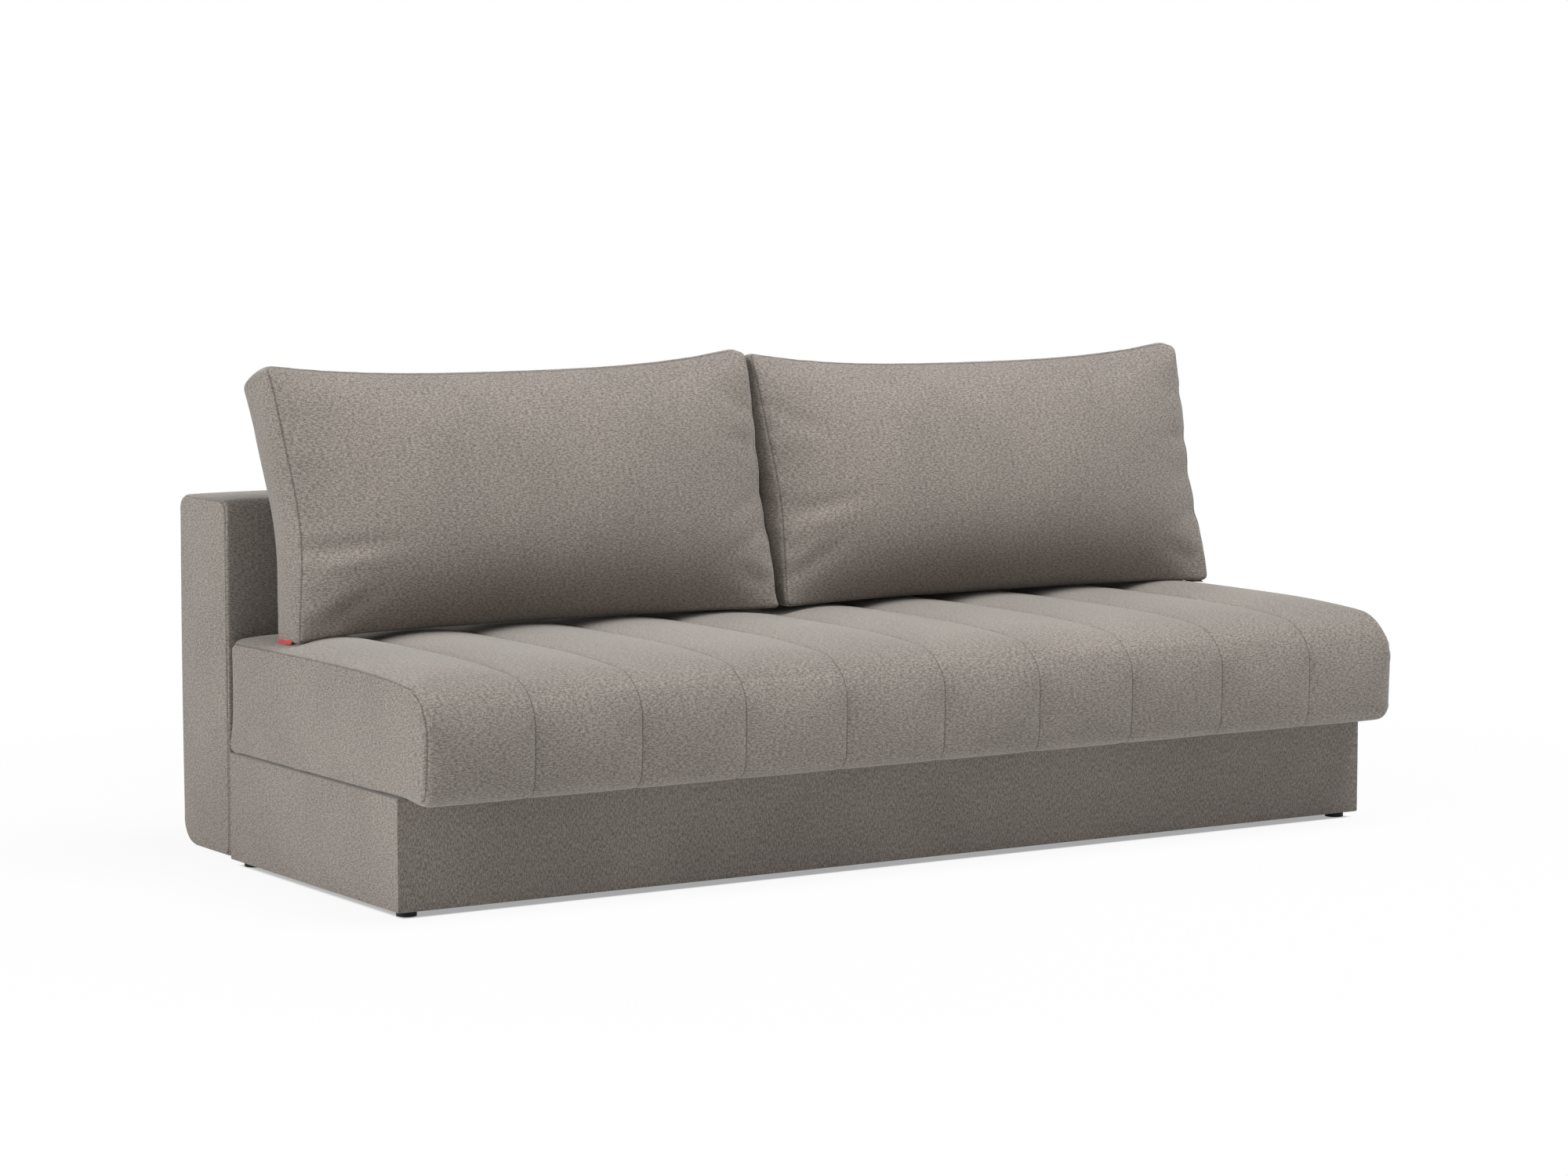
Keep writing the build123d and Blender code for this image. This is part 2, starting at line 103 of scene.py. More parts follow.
def bevelPicked(radius, segments):  # rounds the selected edges and leaves edit mode
    bpy.ops.mesh.bevel(offset=radius, segments=segments, profile=0.5, affect="EDGES")
    leaveEdit()


def cutAcross(piece, axis, places):  # one bisect for each place along an axis
    normal = [0, 0, 0]
    normal[axis] = 1
    enterEdit(piece, "VERT")
    for place in places:
        bpy.ops.mesh.select_all(action="SELECT")
        bpy.ops.mesh.bisect(plane_co=[place * n for n in normal], plane_no=normal, threshold=1e-6)
    leaveEdit()


def mergeClose(piece, distance):
    enterEdit(piece, "VERT")
    bpy.ops.mesh.select_all(action="SELECT")
    bpy.ops.mesh.remove_doubles(threshold=distance)
    leaveEdit()


def evenly(low, high, step):  # places inside a span, about a step apart
    count = max(1, round((high - low) / step))
    return [low + (high - low) * i / count for i in range(1, count)]


def ramp(values):  # held between 0 and 1
    return np.clip(values, 0, 1)


def readPoints(piece):
    points = np.empty(len(piece.data.vertices) * 3)
    piece.data.vertices.foreach_get("co", points)
    return points.reshape(-1, 3)


def readNormals(piece):
    normals = np.empty(len(piece.data.vertices) * 3)
    piece.data.vertices.foreach_get("normal", normals)
    return normals.reshape(-1, 3)


def writePoints(piece, points):
    piece.data.vertices.foreach_set("co", np.ascontiguousarray(points, dtype=np.float32).ravel())
    piece.data.update()


def writeMask(piece, name, values):  # one number per point, which the cloth material reads
    mask = piece.data.attributes.get(name) or piece.data.attributes.new(name, "FLOAT", "POINT")
    mask.data.foreach_set("value", np.asarray(values, np.float32))


def applyModifier(piece, kind, **values):
    makeActive(piece)
    modifier = piece.modifiers.new(kind.lower(), kind)
    for key, value in values.items():
        setattr(modifier, key, value)
    bpy.ops.object.modifier_apply(modifier=modifier.name)


def smoothOver(piece):
    makeActive(piece)
    bpy.ops.object.shade_smooth()


def turnWeave(piece):  # the weave of this piece runs up and down
    layer = piece.data.uv_layers.active.data
    places = np.empty(len(layer) * 2)
    layer.foreach_get("uv", places)
    places = places.reshape(-1, 2)[:, ::-1]
    layer.foreach_set("uv", np.ascontiguousarray(places, dtype=np.float32).ravel())


def layWeave(piece):  # a UV map in metres, laid on each face along its nearest axis
    enterEdit(piece, "FACE")
    bpy.ops.mesh.select_all(action="SELECT")
    bpy.ops.mesh.normals_make_consistent(inside=False)
    bpy.ops.uv.cube_project(cube_size=2, correct_aspect=False, clip_to_bounds=False, scale_to_bounds=False)
    leaveEdit()


def settle(piece, body, slot, material, *nodes):
    piece.data.materials.clear()
    piece.data.materials.append(material)
    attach(piece, body)
    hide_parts(*nodes)


# cloth swelled by air, held at its seams; the movement is capped and kept
cloth = {
    "quality": 6,
    "mass": 0.3,
    "tension_stiffness": 30,
    "compression_stiffness": 30,
    "shear_stiffness": 12,
    "bending_stiffness": 0.8,
    "use_pressure": True,
}
swellFrames = 20
seamGather = 0.05


def swell(piece, held, pressure, cap, gather=None):
    rest = readPoints(piece)
    heldGroup = piece.vertex_groups.new(name="held")
    for index, weight in enumerate(held):
        if weight > 0:
            heldGroup.add([index], float(weight), "REPLACE")
    makeActive(piece)
    modifier = piece.modifiers.new("swell", "CLOTH")
    for key, value in cloth.items():
        setattr(modifier.settings, key, value)
    modifier.settings.vertex_group_mass = "held"
    modifier.settings.uniform_pressure_force = pressure
    modifier.settings.effector_weights.gravity = 0
    if gather is not None:
        gatherGroup = piece.vertex_groups.new(name="gather")
        for index in np.nonzero(gather > 0)[0]:
            gatherGroup.add([int(index)], float(gather[index]), "REPLACE")
        modifier.settings.vertex_group_shrink = "gather"
        modifier.settings.shrink_max = seamGather
    modifier.collision_settings.use_collision = False
    modifier.point_cache.frame_start = 1
    modifier.point_cache.frame_end = swellFrames
    for step in range(1, swellFrames + 1):
        bpy.context.scene.frame_set(step)
    bpy.ops.object.modifier_apply(modifier="swell")
    bpy.context.scene.frame_set(1)
    piece.vertex_groups.clear()
    moved = readPoints(piece) - rest
    length = np.linalg.norm(moved, axis=1)
    moved *= np.minimum(1, cap / np.maximum(length, 1e-9))[:, None]
    print(piece.name, "swelled by up to", round(float(length.max()) * 1000, 1), "mm")
    return rest, moved


# shader groups shared by the finishes
def newGroup(name, inputs, outputs):  # the label and the kind of each socket
    group = bpy.data.node_groups.new(name, "ShaderNodeTree")
    for way, sockets in (("INPUT", inputs), ("OUTPUT", outputs)):
        for label, kind in sockets.items():
            group.interface.new_socket(label, in_out=way, socket_type="NodeSocket" + kind)
    return group, group.nodes.new("NodeGroupInput"), group.nodes.new("NodeGroupOutput")


def addNoise(tree, vector, scale, detail=2.0, roughness=0.5, flat=True):
    node = tree.nodes.new("ShaderNodeTexNoise")
    node.noise_dimensions = "2D" if flat else "3D"
    node.inputs["Scale"].default_value = scale
    node.inputs["Detail"].default_value = detail
    node.inputs["Roughness"].default_value = roughness
    tree.links.new(vector, node.inputs["Vector"])
    return node.outputs[0]


def stretch(tree, vector, scale):
    node = tree.nodes.new("ShaderNodeMapping")
    node.inputs["Scale"].default_value = scale
    tree.links.new(vector, node.inputs["Vector"])
    return node.outputs["Vector"]


def spread(tree, value, low, high, toLow=0.0, toHigh=1.0):
    node = tree.nodes.new("ShaderNodeMapRange")
    node.interpolation_type = "SMOOTHSTEP"
    node.inputs["From Min"].default_value = low
    node.inputs["From Max"].default_value = high
    node.inputs["To Min"].default_value = toLow
    node.inputs["To Max"].default_value = toHigh
    tree.links.new(value, node.inputs["Value"])
    return node.outputs["Result"]


def feed(tree, source, socket):  # a link from another node, or else a plain value
    if isinstance(source, bpy.types.NodeSocket):
        tree.links.new(source, socket)
    else:
        socket.default_value = source


def blendValues(tree, share, a, b):
    node = tree.nodes.new("ShaderNodeMix")
    node.data_type = "FLOAT"
    for index, source in ((0, share), (2, a), (3, b)):
        feed(tree, source, node.inputs[index])
    return node.outputs[0]


def blendColours(tree, share, a, b):
    node = tree.nodes.new("ShaderNodeMix")
    node.data_type = "RGBA"
    for index, source in ((0, share), (6, a), (7, b)):
        feed(tree, source, node.inputs[index])
    return node.outputs[2]


def scaleColour(tree, colour, factor):
    node = tree.nodes.new("ShaderNodeVectorMath")
    node.operation = "SCALE"
    tree.links.new(colour, node.inputs[0])
    tree.links.new(factor, node.inputs["Scale"])
    return node.outputs[0]


def combine(tree, operation, a, b, clamp=False):
    node = tree.nodes.new("ShaderNodeMath")
    node.operation = operation
    node.use_clamp = clamp
    tree.links.new(a, node.inputs[0])
    tree.links.new(b, node.inputs[1])
    return node.outputs[0]


def addGroup(tree, group, vector, values):
    node = tree.nodes.new("ShaderNodeGroup")
    node.node_tree = group
    tree.links.new(vector, node.inputs["Vector"])
    for label, value in values.items():
        node.inputs[label].default_value = value
    return node


# how fine the yarns lie per metre, how fast weft and warp take turns, the slow cloudiness, and how far
# painted shade darkens the seam grooves (seamShade)
weaveSpec = {"weft": (300, 1000, 1), "warp": (1000, 420, 1), "basket": 600, "cloud": 7, "seamShade": 0.55}


def makeWeaveGroup():  # short weft and warp slubs crossing in a basket, with painted shade darkening the colour along the seam grooves
    group, given, put = newGroup(
        "basketWeave",
        {"Vector": "Vector", "Dark Yarn": "Color", "Light Yarn": "Color", "Seam": "Float"},
        {"Color": "Color", "Height": "Float", "Roughness": "Float"},
    )
    place = given.outputs["Vector"]
    weft = addNoise(group, stretch(group, place, weaveSpec["weft"]), 1.0)
    warp = addNoise(group, stretch(group, place, weaveSpec["warp"]), 1.0)
    which = spread(group, addNoise(group, place, weaveSpec["basket"], 1.0), 0.5, 0.62)
    yarn = blendValues(group, which, weft, warp)
    fleck = spread(group, yarn, 0.34, 0.66)
    broad = spread(group, addNoise(group, place, weaveSpec["cloud"], 3.0), 0.3, 0.7, 0.94, 1.05)
    colour = blendColours(group, fleck, given.outputs["Dark Yarn"], given.outputs["Light Yarn"])
    # painted shade: where the seam mask lies, the colour is darkened to stand in for the shadow in the
    # seam groove
    line = spread(group, given.outputs["Seam"], 0.45, 1.0, 1.0, weaveSpec["seamShade"])
    group.links.new(scaleColour(group, scaleColour(group, colour, broad), line), put.inputs["Color"])
    group.links.new(yarn, put.inputs["Height"])
    group.links.new(spread(group, yarn, 0.3, 0.7, 0.95, 0.8), put.inputs["Roughness"])
    return group


weaveGroup = makeWeaveGroup()


def newMaterial(name):
    material = bpy.data.materials.new(name)
    material.use_nodes = True
    tree = material.node_tree
    return material, tree, tree.nodes["Principled BSDF"], tree.nodes.new("ShaderNodeTexCoord")


def addBump(tree, height, shader, strength, distance):
    bump = tree.nodes.new("ShaderNodeBump")
    bump.inputs["Strength"].default_value = strength
    bump.inputs["Distance"].default_value = distance
    tree.links.new(height, bump.inputs["Height"])
    tree.links.new(bump.outputs["Normal"], shader.inputs["Normal"])


taupe = {"dark": (0.181, 0.156, 0.137, 1), "light": (0.357, 0.321, 0.289, 1), "sheen": 0.4}


def makeUpholstery():
    material, tree, shader, coords = newMaterial("taupeUpholstery")
    yarns = {"Dark Yarn": taupe["dark"], "Light Yarn": taupe["light"]}
    weave = addGroup(tree, weaveGroup, coords.outputs["UV"], yarns)
    # the seam mask drives the painted shade that darkens the colour along the seam grooves
    seam = tree.nodes.new("ShaderNodeAttribute")
    seam.attribute_name = "seam"
    tree.links.new(seam.outputs["Fac"], weave.inputs["Seam"])
    tree.links.new(weave.outputs["Color"], shader.inputs["Base Color"])
    tree.links.new(weave.outputs["Roughness"], shader.inputs["Roughness"])
    shader.inputs["Specular IOR Level"].default_value = 0.12
    shader.inputs["Sheen Weight"].default_value = taupe["sheen"]
    shader.inputs["Sheen Roughness"].default_value = 0.45
    shader.inputs["Sheen Tint"].default_value = (1.0, 0.98, 0.95, 1)
    addBump(tree, weave.outputs["Height"], shader, 0.35, 0.0008)
    return material


upholstery = makeUpholstery()


# channelled pads: a long box with rounded edges, cut into a grid, swelled between its seams
def makePad(spec, low, high):
    piece = startBox(spec["name"], low, high)
    for (y, z), radius, segments in spec["edges"]:
        edgeY = high[1] if y > 0 else low[1]
        edgeZ = high[2] if z > 0 else low[2]
        pickEdges(piece, lambda a, b: max(abs(p[1] - edgeY) + abs(p[2] - edgeZ) for p in (a, b)) < 1e-5)
        bevelPicked(radius, segments)
    rows = [spec["endRadius"] / 3 * i for i in (1, 2, 3)]
    for _ in rows:
        pickFaces(piece, lambda face: abs(face.normal.x) > 0.9)
        bpy.ops.mesh.inset(thickness=rows[0], depth=0)
        leaveEdit()
    cutAcross(piece, 1, evenly(low[1] + spec["clear"], high[1] - spec["clear"], spec["step"]))
    cutAcross(piece, 2, evenly(low[2] + spec["clear"], high[2] - spec["clear"], spec["step"]))
    cutAcross(piece, 0, evenly(low[0], high[0], (high[0] - low[0]) / spec["channels"] / spec["columns"]))
    cutAcross(piece, 0, [low[0] + row for row in rows] + [high[0] - row for row in rows])
    mergeClose(piece, spec["merge"])
    return piece


def roundEnds(piece, half, radiusAt):  # the sharp rim of each end panel laid over on a quarter round
    rim = rimPoints(piece)
    points = readPoints(piece)
    normals = readNormals(piece)
    outward = normals[:, 1:] / np.maximum(np.linalg.norm(normals[:, 1:], axis=1), 1e-9)[:, None]
    fromEnd = half - np.abs(points[:, 0])
    side = np.sign(points[:, 0])
    onCap = (fromEnd < 1e-5) & ~rim
    radius = radiusAt(points)
    band = (fromEnd < radius) & ~onCap
    turn = math.pi / 4 * ramp(1 - fromEnd / radius)
    rounded = points.copy()
    rounded[band, 0] = (side * (half - radius + radius * np.sin(turn)))[band]
    rounded[band, 1:] -= (outward * (radius * (1 - np.cos(turn)))[:, None])[band]
    rimPlaces = points[rim]
    rimRadius = radius[rim]
    for index in np.nonzero(onCap)[0]:
        away = points[index, 1:] - rimPlaces[:, 1:]
        distance = np.linalg.norm(away, axis=1)
        nearest = distance.argmin()
        reach = rimRadius[nearest]
        if distance[nearest] < reach:
            lean = math.pi / 4 * (1 - distance[nearest] / reach)
            inward = away[nearest] / distance[nearest]
            rounded[index, 1:] += inward * (reach * (1 - math.sin(lean)) - distance[nearest])
            rounded[index, 0] -= side[index] * reach * (1 - math.cos(lean))
    writePoints(piece, rounded)
    return rim


def rimPoints(piece):  # points where an end panel meets the band around it
    end = np.zeros(len(piece.data.vertices), bool)
    band = np.zeros(len(piece.data.vertices), bool)
    for face in piece.data.polygons:
        flags = end if abs(face.normal.x) > 0.9 else band
        flags[list(face.vertices)] = True
    return end & band


def sewPad(piece, seams, spec, keepOut):  # thin rows beside each seam, then the seam line drawn in and masked for the painted shade of its groove
    narrow = spec["seamWidth"]
    cutAcross(piece, 0, [s + side * narrow for s in seams for side in (-1, 1)])
    points = readPoints(piece)
    normals = readNormals(piece)
    sewn = np.array([item.value for item in piece.data.attributes["rim"].data])
    for s in seams:
        sewn[np.abs(points[:, 0] - s) < 1e-4] = 1
    sewn *= ~keepOut(points)
    writePoints(piece, points - normals * (sewn * spec["seamDepth"])[:, None])
    # this mask darkens the cloth colour along the seams: painted shade of the seam grooves
    writeMask(piece, "seam", sewn)


def fitSwell(moved, spec):  # each way of swelling brought to its measured height
    fitted = moved.copy()
    for axis, (down, up) in enumerate(spec["swell"]):
        for sign, height in ((-1, down), (1, up)):
            way = sign * moved[:, axis] > 0
            most = np.percentile(np.abs(moved[way, axis]), 99) if way.any() else 0
            if most > 1e-6:
                fitted[way, axis] *= height / most
        fitted[:, axis] = np.clip(fitted[:, axis], -down, up)
    return fitted


seatSpec = {
    "name": "seatPadCover",
    "channels": 10,
    "columns": 8,
    "edges": [((-1, 1), 0.072, 9), ((-1, -1), 0.026, 5), ((1, 1), 0.018, 3), ((1, -1), 0.018, 3)],
    "step": 0.026,
    "merge": 0.0008,
    "clear": 0.004,
    "endRadius": 0.020,
    "lowRadius": 0.002,
    "crown": 0.014,
    "frontCrown": 0.008,
    "arch": 0.004,
    "frontBow": 0.005,
    "frontSlope": 0.014,
    "slopeStart": 0.2585,
    "shoulder": 0.004,
    "topBand": 0.03,
    "topEase": 0.02,
    "droop": 0.005,
    "lipSag": 0.009,
    "lipStart": 0.004,
    "lipReach": 0.05,
    "lipHeight": 0.08,
    "tightBand": 0.006,
    "tightLead": 0.01,
    "tightEase": 0.05,
    "heldBand": 0.003,
    "plainUnder": 0.001,
    "plainBehind": -0.3,
    "crease": 50,
    "sidePuff": -0.002,
    "swell": [(0.004, 0.004), (0.008, 0.001), (0.004, 0.014)],
    "seamWidth": 0.003,
    "seamDepth": 0.0025,
    "pressure": 5.0,
    "cap": 0.024,
    "hingeRoom": 0.035,
    "hingeInset": 0.032,
    "linkRoom": 0.0193,
    "pocketRoom": 0.023,
    "slotFront": 0.2575,
    "pocketFront": 0.234,
    "hingeTop": 0.214,
    "pocketTop": 0.246,
    "slotTop": 0.5,
    "slotFoot": 0.1,
}


def cutSlots(piece):  # room behind the pad for the hinges, the links and their brackets
    spec = seatSpec
    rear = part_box("back_pad")[0].y
    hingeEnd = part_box("hinge_pins")[1].x - spec["hingeInset"]
    linkMiddle = sum(corner.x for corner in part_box("link_right")) / 2
    hinge = (spec["hingeRoom"], spec["slotFront"], spec["hingeTop"])
    link = (spec["linkRoom"], spec["slotFront"], spec["slotTop"])
    pocket = (spec["pocketRoom"], spec["pocketFront"], spec["pocketTop"])
    rows = [(x, *hinge) for x in (-hingeEnd, 0, hingeEnd)]
    rows += [(x, *link) for x in (-linkMiddle, linkMiddle)]
    pockets = [(x, *pocket) for x in (-linkMiddle, linkMiddle)]
    for group in (rows, pockets):
        cutters = []
        for x, room, front, top in group:
            near = (x - room, front, spec["slotFoot"])
            cutters.append(startBox("slotCutter", near, (x + room, rear, top)))
        makeActive(cutters[0])
        for cutter in cutters:
            cutter.select_set(True)
        bpy.ops.object.join()
        applyModifier(piece, "BOOLEAN", operation="DIFFERENCE", solver="EXACT", object=cutters[0])
        bpy.data.objects.remove(cutters[0])


def bendSeat(piece, low, high, baseFront):  # arch of the top, slope and bow of the front, sag of its lip
    spec = seatSpec
    points = readPoints(piece)
    alongY = ramp((points[:, 1] - low.y) / (high.y - low.y))
    alongZ = ramp((points[:, 2] - low.z) / (high.z - low.z))
    topShare = ramp((alongZ - 0.5) * 2)
    points[:, 2] += spec["arch"] * 4 * alongY * (1 - alongY) * topShare
    toFront = ramp(1 - (points[:, 1] - low.y) / spec["slopeStart"])
    points[:, 2] -= spec["frontSlope"] * toFront ** 2 * topShare
    frontShare = ramp(1 - alongY * 6)
    points[:, 1] -= spec["frontBow"] * 4 * alongZ * (1 - alongZ) * frontShare
    writePoints(piece, points)
    points = readPoints(piece)
    ahead = ramp((baseFront - spec["lipStart"] - points[:, 1]) / spec["lipReach"])
    lower = ramp(1 - (points[:, 2] - low.z) / spec["lipHeight"])
    points[:, 2] -= spec["lipSag"] * ahead ** 2 * (3 - 2 * ahead) * lower
    writePoints(piece, points)


def makeSeat():
    spec = seatSpec
    low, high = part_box("seat_pad")
    low.x += spec["sidePuff"]
    high.x -= spec["sidePuff"]
    low.y += spec["frontCrown"] + spec["frontBow"]
    low.z += spec["droop"]
    high.z -= spec["crown"] + spec["arch"]
    piece = makePad(spec, low, high)
    step = (high.x - low.x) / spec["channels"]
    seams = [low.x + step * i for i in range(1, spec["channels"])]
    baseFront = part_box("front_cover")[0].y
    bendSeat(piece, low, high, baseFront)

    def radiusAt(places):  # tight where the pad rests on the base, full elsewhere
        above = ramp((places[:, 2] - low.z - spec["tightBand"]) / spec["tightEase"])
        ahead = ramp((baseFront + spec["tightLead"] - places[:, 1]) / spec["tightEase"])
        free = np.maximum(above, ahead)
        return spec["lowRadius"] + (spec["endRadius"] - spec["lowRadius"]) * free

    rim = roundEnds(piece, high.x, radiusAt)
    writeMask(piece, "rim", rim)
    points = readPoints(piece)
    onSeam = np.min([np.abs(points[:, 0] - s) for s in seams], axis=0) < 1e-4
    held = onSeam | rim
    held |= (points[:, 2] < low.z + spec["heldBand"]) & (points[:, 1] > baseFront)
    held |= points[:, 1] > high.y - spec["heldBand"]
    rest, moved = swell(piece, held, spec["pressure"], spec["cap"])
    points = rest + fitSwell(moved, spec)
    toEnd = ramp((np.abs(points[:, 0]) - high.x + step / 2) / (step / 2))
    onTop = ramp((points[:, 2] - high.z + spec["topBand"]) / spec["topEase"])
    points[:, 2] += spec["shoulder"] * 4 * (toEnd ** 2 - toEnd ** 4) * onTop
    writePoints(piece, points)

    def unsewn(places):  # the underside on the base has no seam lines
        under = places[:, 2] < low.z + spec["plainUnder"]
        return under & (places[:, 1] > spec["plainBehind"])

    sewPad(piece, seams, spec, unsewn)
    applyModifier(piece, "SUBSURF", levels=1, render_levels=1)
    cutSlots(piece)
    makeActive(piece)
    bpy.ops.object.shade_smooth_by_angle(angle=math.radians(spec["crease"]))
    layWeave(piece)
    settle(piece, "seat", "upholstery", upholstery, "seat_pad")


makeSeat()
print("seat pad done")


backSpec = {
    "name": "backPadCover",
    "channels": 10,
    "columns": 8,
    "edges": [((-1, 1), 0.017, 4), ((-1, -1), 0.014, 4), ((1, 1), 0.026, 5), ((1, -1), 0.046, 7)],
    "step": 0.026,
    "merge": 0.0008,
    "clear": 0.004,
    "endRadius": 0.009,
    "crown": 0.006,
    "rearBow": 0.004,
    "topRise": 0.001,
    "hang": 0.003,
    "sidePuff": 0.003,
    "swell": [(0.003, 0.003), (0.0005, 0.006), (0.001, 0.002)],
    "seamWidth": 0.003,
    "seamDepth": 0.002,
    "pressure": 5.0,
    "cap": 0.02,
    "skin": 0.0004,
    "frontBand": 0.02,
    "heldBand": 0.002,
    "endBand": 0.02,
}


def makeBack():
    spec = backSpec
    low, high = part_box("back_pad")
    low.x += spec["sidePuff"]
    high.x -= spec["sidePuff"]
    low.y -= spec["skin"]
    high.y -= spec["crown"] + spec["rearBow"]
    high.z += spec["topRise"]
    low.z -= spec["hang"]
    piece = makePad(spec, low, high)
    step = (high.x - low.x) / spec["channels"]
    seams = [low.x + step * i for i in range(1, spec["channels"])]
    points = readPoints(piece)
    alongZ = ramp((points[:, 2] - low.z) / (high.z - low.z))
    rearShare = ramp((points[:, 1] - low.y) / (high.y - low.y) * 2 - 1)
    points[:, 1] += spec["rearBow"] * 4 * alongZ * (1 - alongZ) * rearShare
    writePoints(piece, points)
    rim = roundEnds(piece, high.x, lambda places: np.full(len(places), spec["endRadius"]))
    writeMask(piece, "rim", rim)
    points = readPoints(piece)
    inFront = low.y + spec["frontBand"]
    onSeam = np.min([np.abs(points[:, 0] - s) for s in seams], axis=0) < 1e-4
    held = (onSeam & (points[:, 1] > inFront)) | rim
    held |= points[:, 1] < low.y + spec["heldBand"]
    rest, moved = swell(piece, held, spec["pressure"], spec["cap"])
    writePoints(piece, rest + fitSwell(moved, spec))

    def unsewn(places):  # the front sheet is plain, but for the seam round its ends
        return (places[:, 1] < inFront) & (np.abs(places[:, 0]) < high.x - spec["endBand"])

    sewPad(piece, seams, spec, unsewn)
    applyModifier(piece, "SUBSURF", levels=1, render_levels=1)
    smoothOver(piece)
    layWeave(piece)
    settle(piece, "back", "upholstery", upholstery, "back_pad")


makeBack()
print("back pad done")

# loose cushions: a boxed pillow on its side outline, swelled, then puckered along its seams
cushionSpec = {
    "frontFoot": 0.2215,
    "frontHead": 0.1000,
    "rearFoot": 0.1340,
    "rearHead": 0.0050,
    "headSlope": 0.016,
    "endSlope": 0.016,
    "earPuff": 0.010,
    "ear": {"left": 0.022, "right": 0.027},
    "lift": {"left": 0.006, "right": 0.000},
    "innerEar": {"left": 0.006, "right": 0.003},
    "seamBow": 0.015,
    "belly": 0.2435,
    "bellyHeight": 0.33,
    "foot": 0.1600,
    "underRound": 2.3,
    "overRound": 1.6,
    "headRoll": 0.024,
    "rollShare": 0.85,
    "rearCrown": 0.072,
    "endHollow": 0.012,
    "earFlare": 0.009,
    "innerFlare": 0.003,
    "startShare": 0.9,
    "roundness": 3.0,
    "depth": 0.1,
    "grid": 0.012,
    "merge": 0.0008,
    "edge": 0.006,
    "topCorner": 0.022,
    "lowCorner": {"left": 0.007, "right": 0.014},
    "innerPuff": 0.005,
    "outerPuff": {"left": 0.012, "right": 0.0},
    "footFlare": {"left": 0.011, "right": 0.005},
    "footSag": {"left": 0.007, "right": 0.004},
    "sagSpan": 9,
    "sagHeight": 0.12,
    "endReach": 9,
    "innerReach": 6,
    "puffReach": 8,
    "flareHeight": 0.3,
    "hollowAt": 0.42,
    "hollowSpan": 0.4,
    "earFrom": 0.78,
    "earSpan": 0.2,
    "earCurve": 1.5,
    "seamDepth": 0.0022,
    "pressure": 4.0,
    "cap": 0.014,
    "heldCorner": 0.03,
    "heldFoot": 0.004,
    "rearGap": 0.002,
    "headLean": 0.016,
    "leanFrom": 0.017,
    "leanOver": 0.024,
    "backClear": 0.007,
    "restGap": 0.0002,
    "pucker": 0.0018,
    "puckerReach": 0.045,
    "puckerFrom": 0.05,
    "boxingReach": 0.4,
    "boxingShare": 0.35,
    "headShare": 0.5,
    "frontShare": 0.3,
    "seamBand": 0.0009,
}
# share, pitch, lead and start of each wave along a puckered seam
puckerWaves = [(0.5, 146, 1.0, 0.0), (0.35, 91, 2.3, 0.0), (0.25, 243, 0.0, 1.7)]

# folds in the front panel: share across, share up, length, width, depth (below 0 stands out), turn
folds = {
    "left": [
        (0.100, 0.335, 0.080, 0.014, 0.0060, 5),
        (0.085, 0.280, 0.070, 0.014, -0.0035, 8),
        (0.085, 0.085, 0.060, 0.014, 0.0060, 30),
        (0.055, 0.130, 0.050, 0.013, -0.0030, 32),
        (0.965, 0.650, 0.060, 0.013, 0.0045, -14),
        (0.965, 0.440, 0.070, 0.013, 0.0055, 22),
        (0.955, 0.290, 0.060, 0.012, 0.0050, 26),
        (0.945, 0.830, 0.070, 0.014, 0.0045, -32),
        (0.960, 0.110, 0.050, 0.014, 0.0045, -30),
    ],
    "right": [
        (0.065, 0.740, 0.070, 0.015, 0.0045, -25),
        (0.085, 0.390, 0.080, 0.014, 0.0055, 12),
        (0.080, 0.335, 0.070, 0.014, -0.0030, 12),
        (0.060, 0.170, 0.065, 0.014, 0.0055, 30),
        (0.975, 0.800, 0.045, 0.012, 0.0040, -16),
        (0.975, 0.600, 0.050, 0.012, 0.0045, -6),
        (0.975, 0.440, 0.050, 0.012, 0.0045, 8),
        (0.970, 0.270, 0.055, 0.012, 0.0045, 14),
        (0.960, 0.090, 0.055, 0.014, 0.0050, -28),
    ],
}


def offChord(start, end, share, out):  # a point on a chord, moved out to its left
    chord = [b - a for a, b in zip(start, end)]
    length = np.hypot(chord[0], chord[1])
    y = start[0] + chord[0] * share - chord[1] / length * out
    z = start[1] + chord[1] * share + chord[0] / length * out
    return y, z


def rollHead(y, z, height, radius, share):  # the front panel carried over the head to the boxing
    a = np.clip(radius - y, 0, radius)
    b = np.clip(z - height + radius, 0, radius)
    inside = (y < radius) & (z > height - radius) & (np.maximum(a, b) > 1e-6)
    onPanel = a >= b
    ratio = np.where(onPanel, b / np.maximum(a, 1e-9), a / np.maximum(b, 1e-9))
    turn = math.pi / 2 * np.where(onPanel, share * ratio, 1 - (1 - share) * ratio)
    reach = np.maximum(a, b)
    newY = np.where(inside, radius - reach * np.cos(turn), y)
    newZ = np.where(inside, height - radius + reach * np.sin(turn), z)
    return newY, newZ


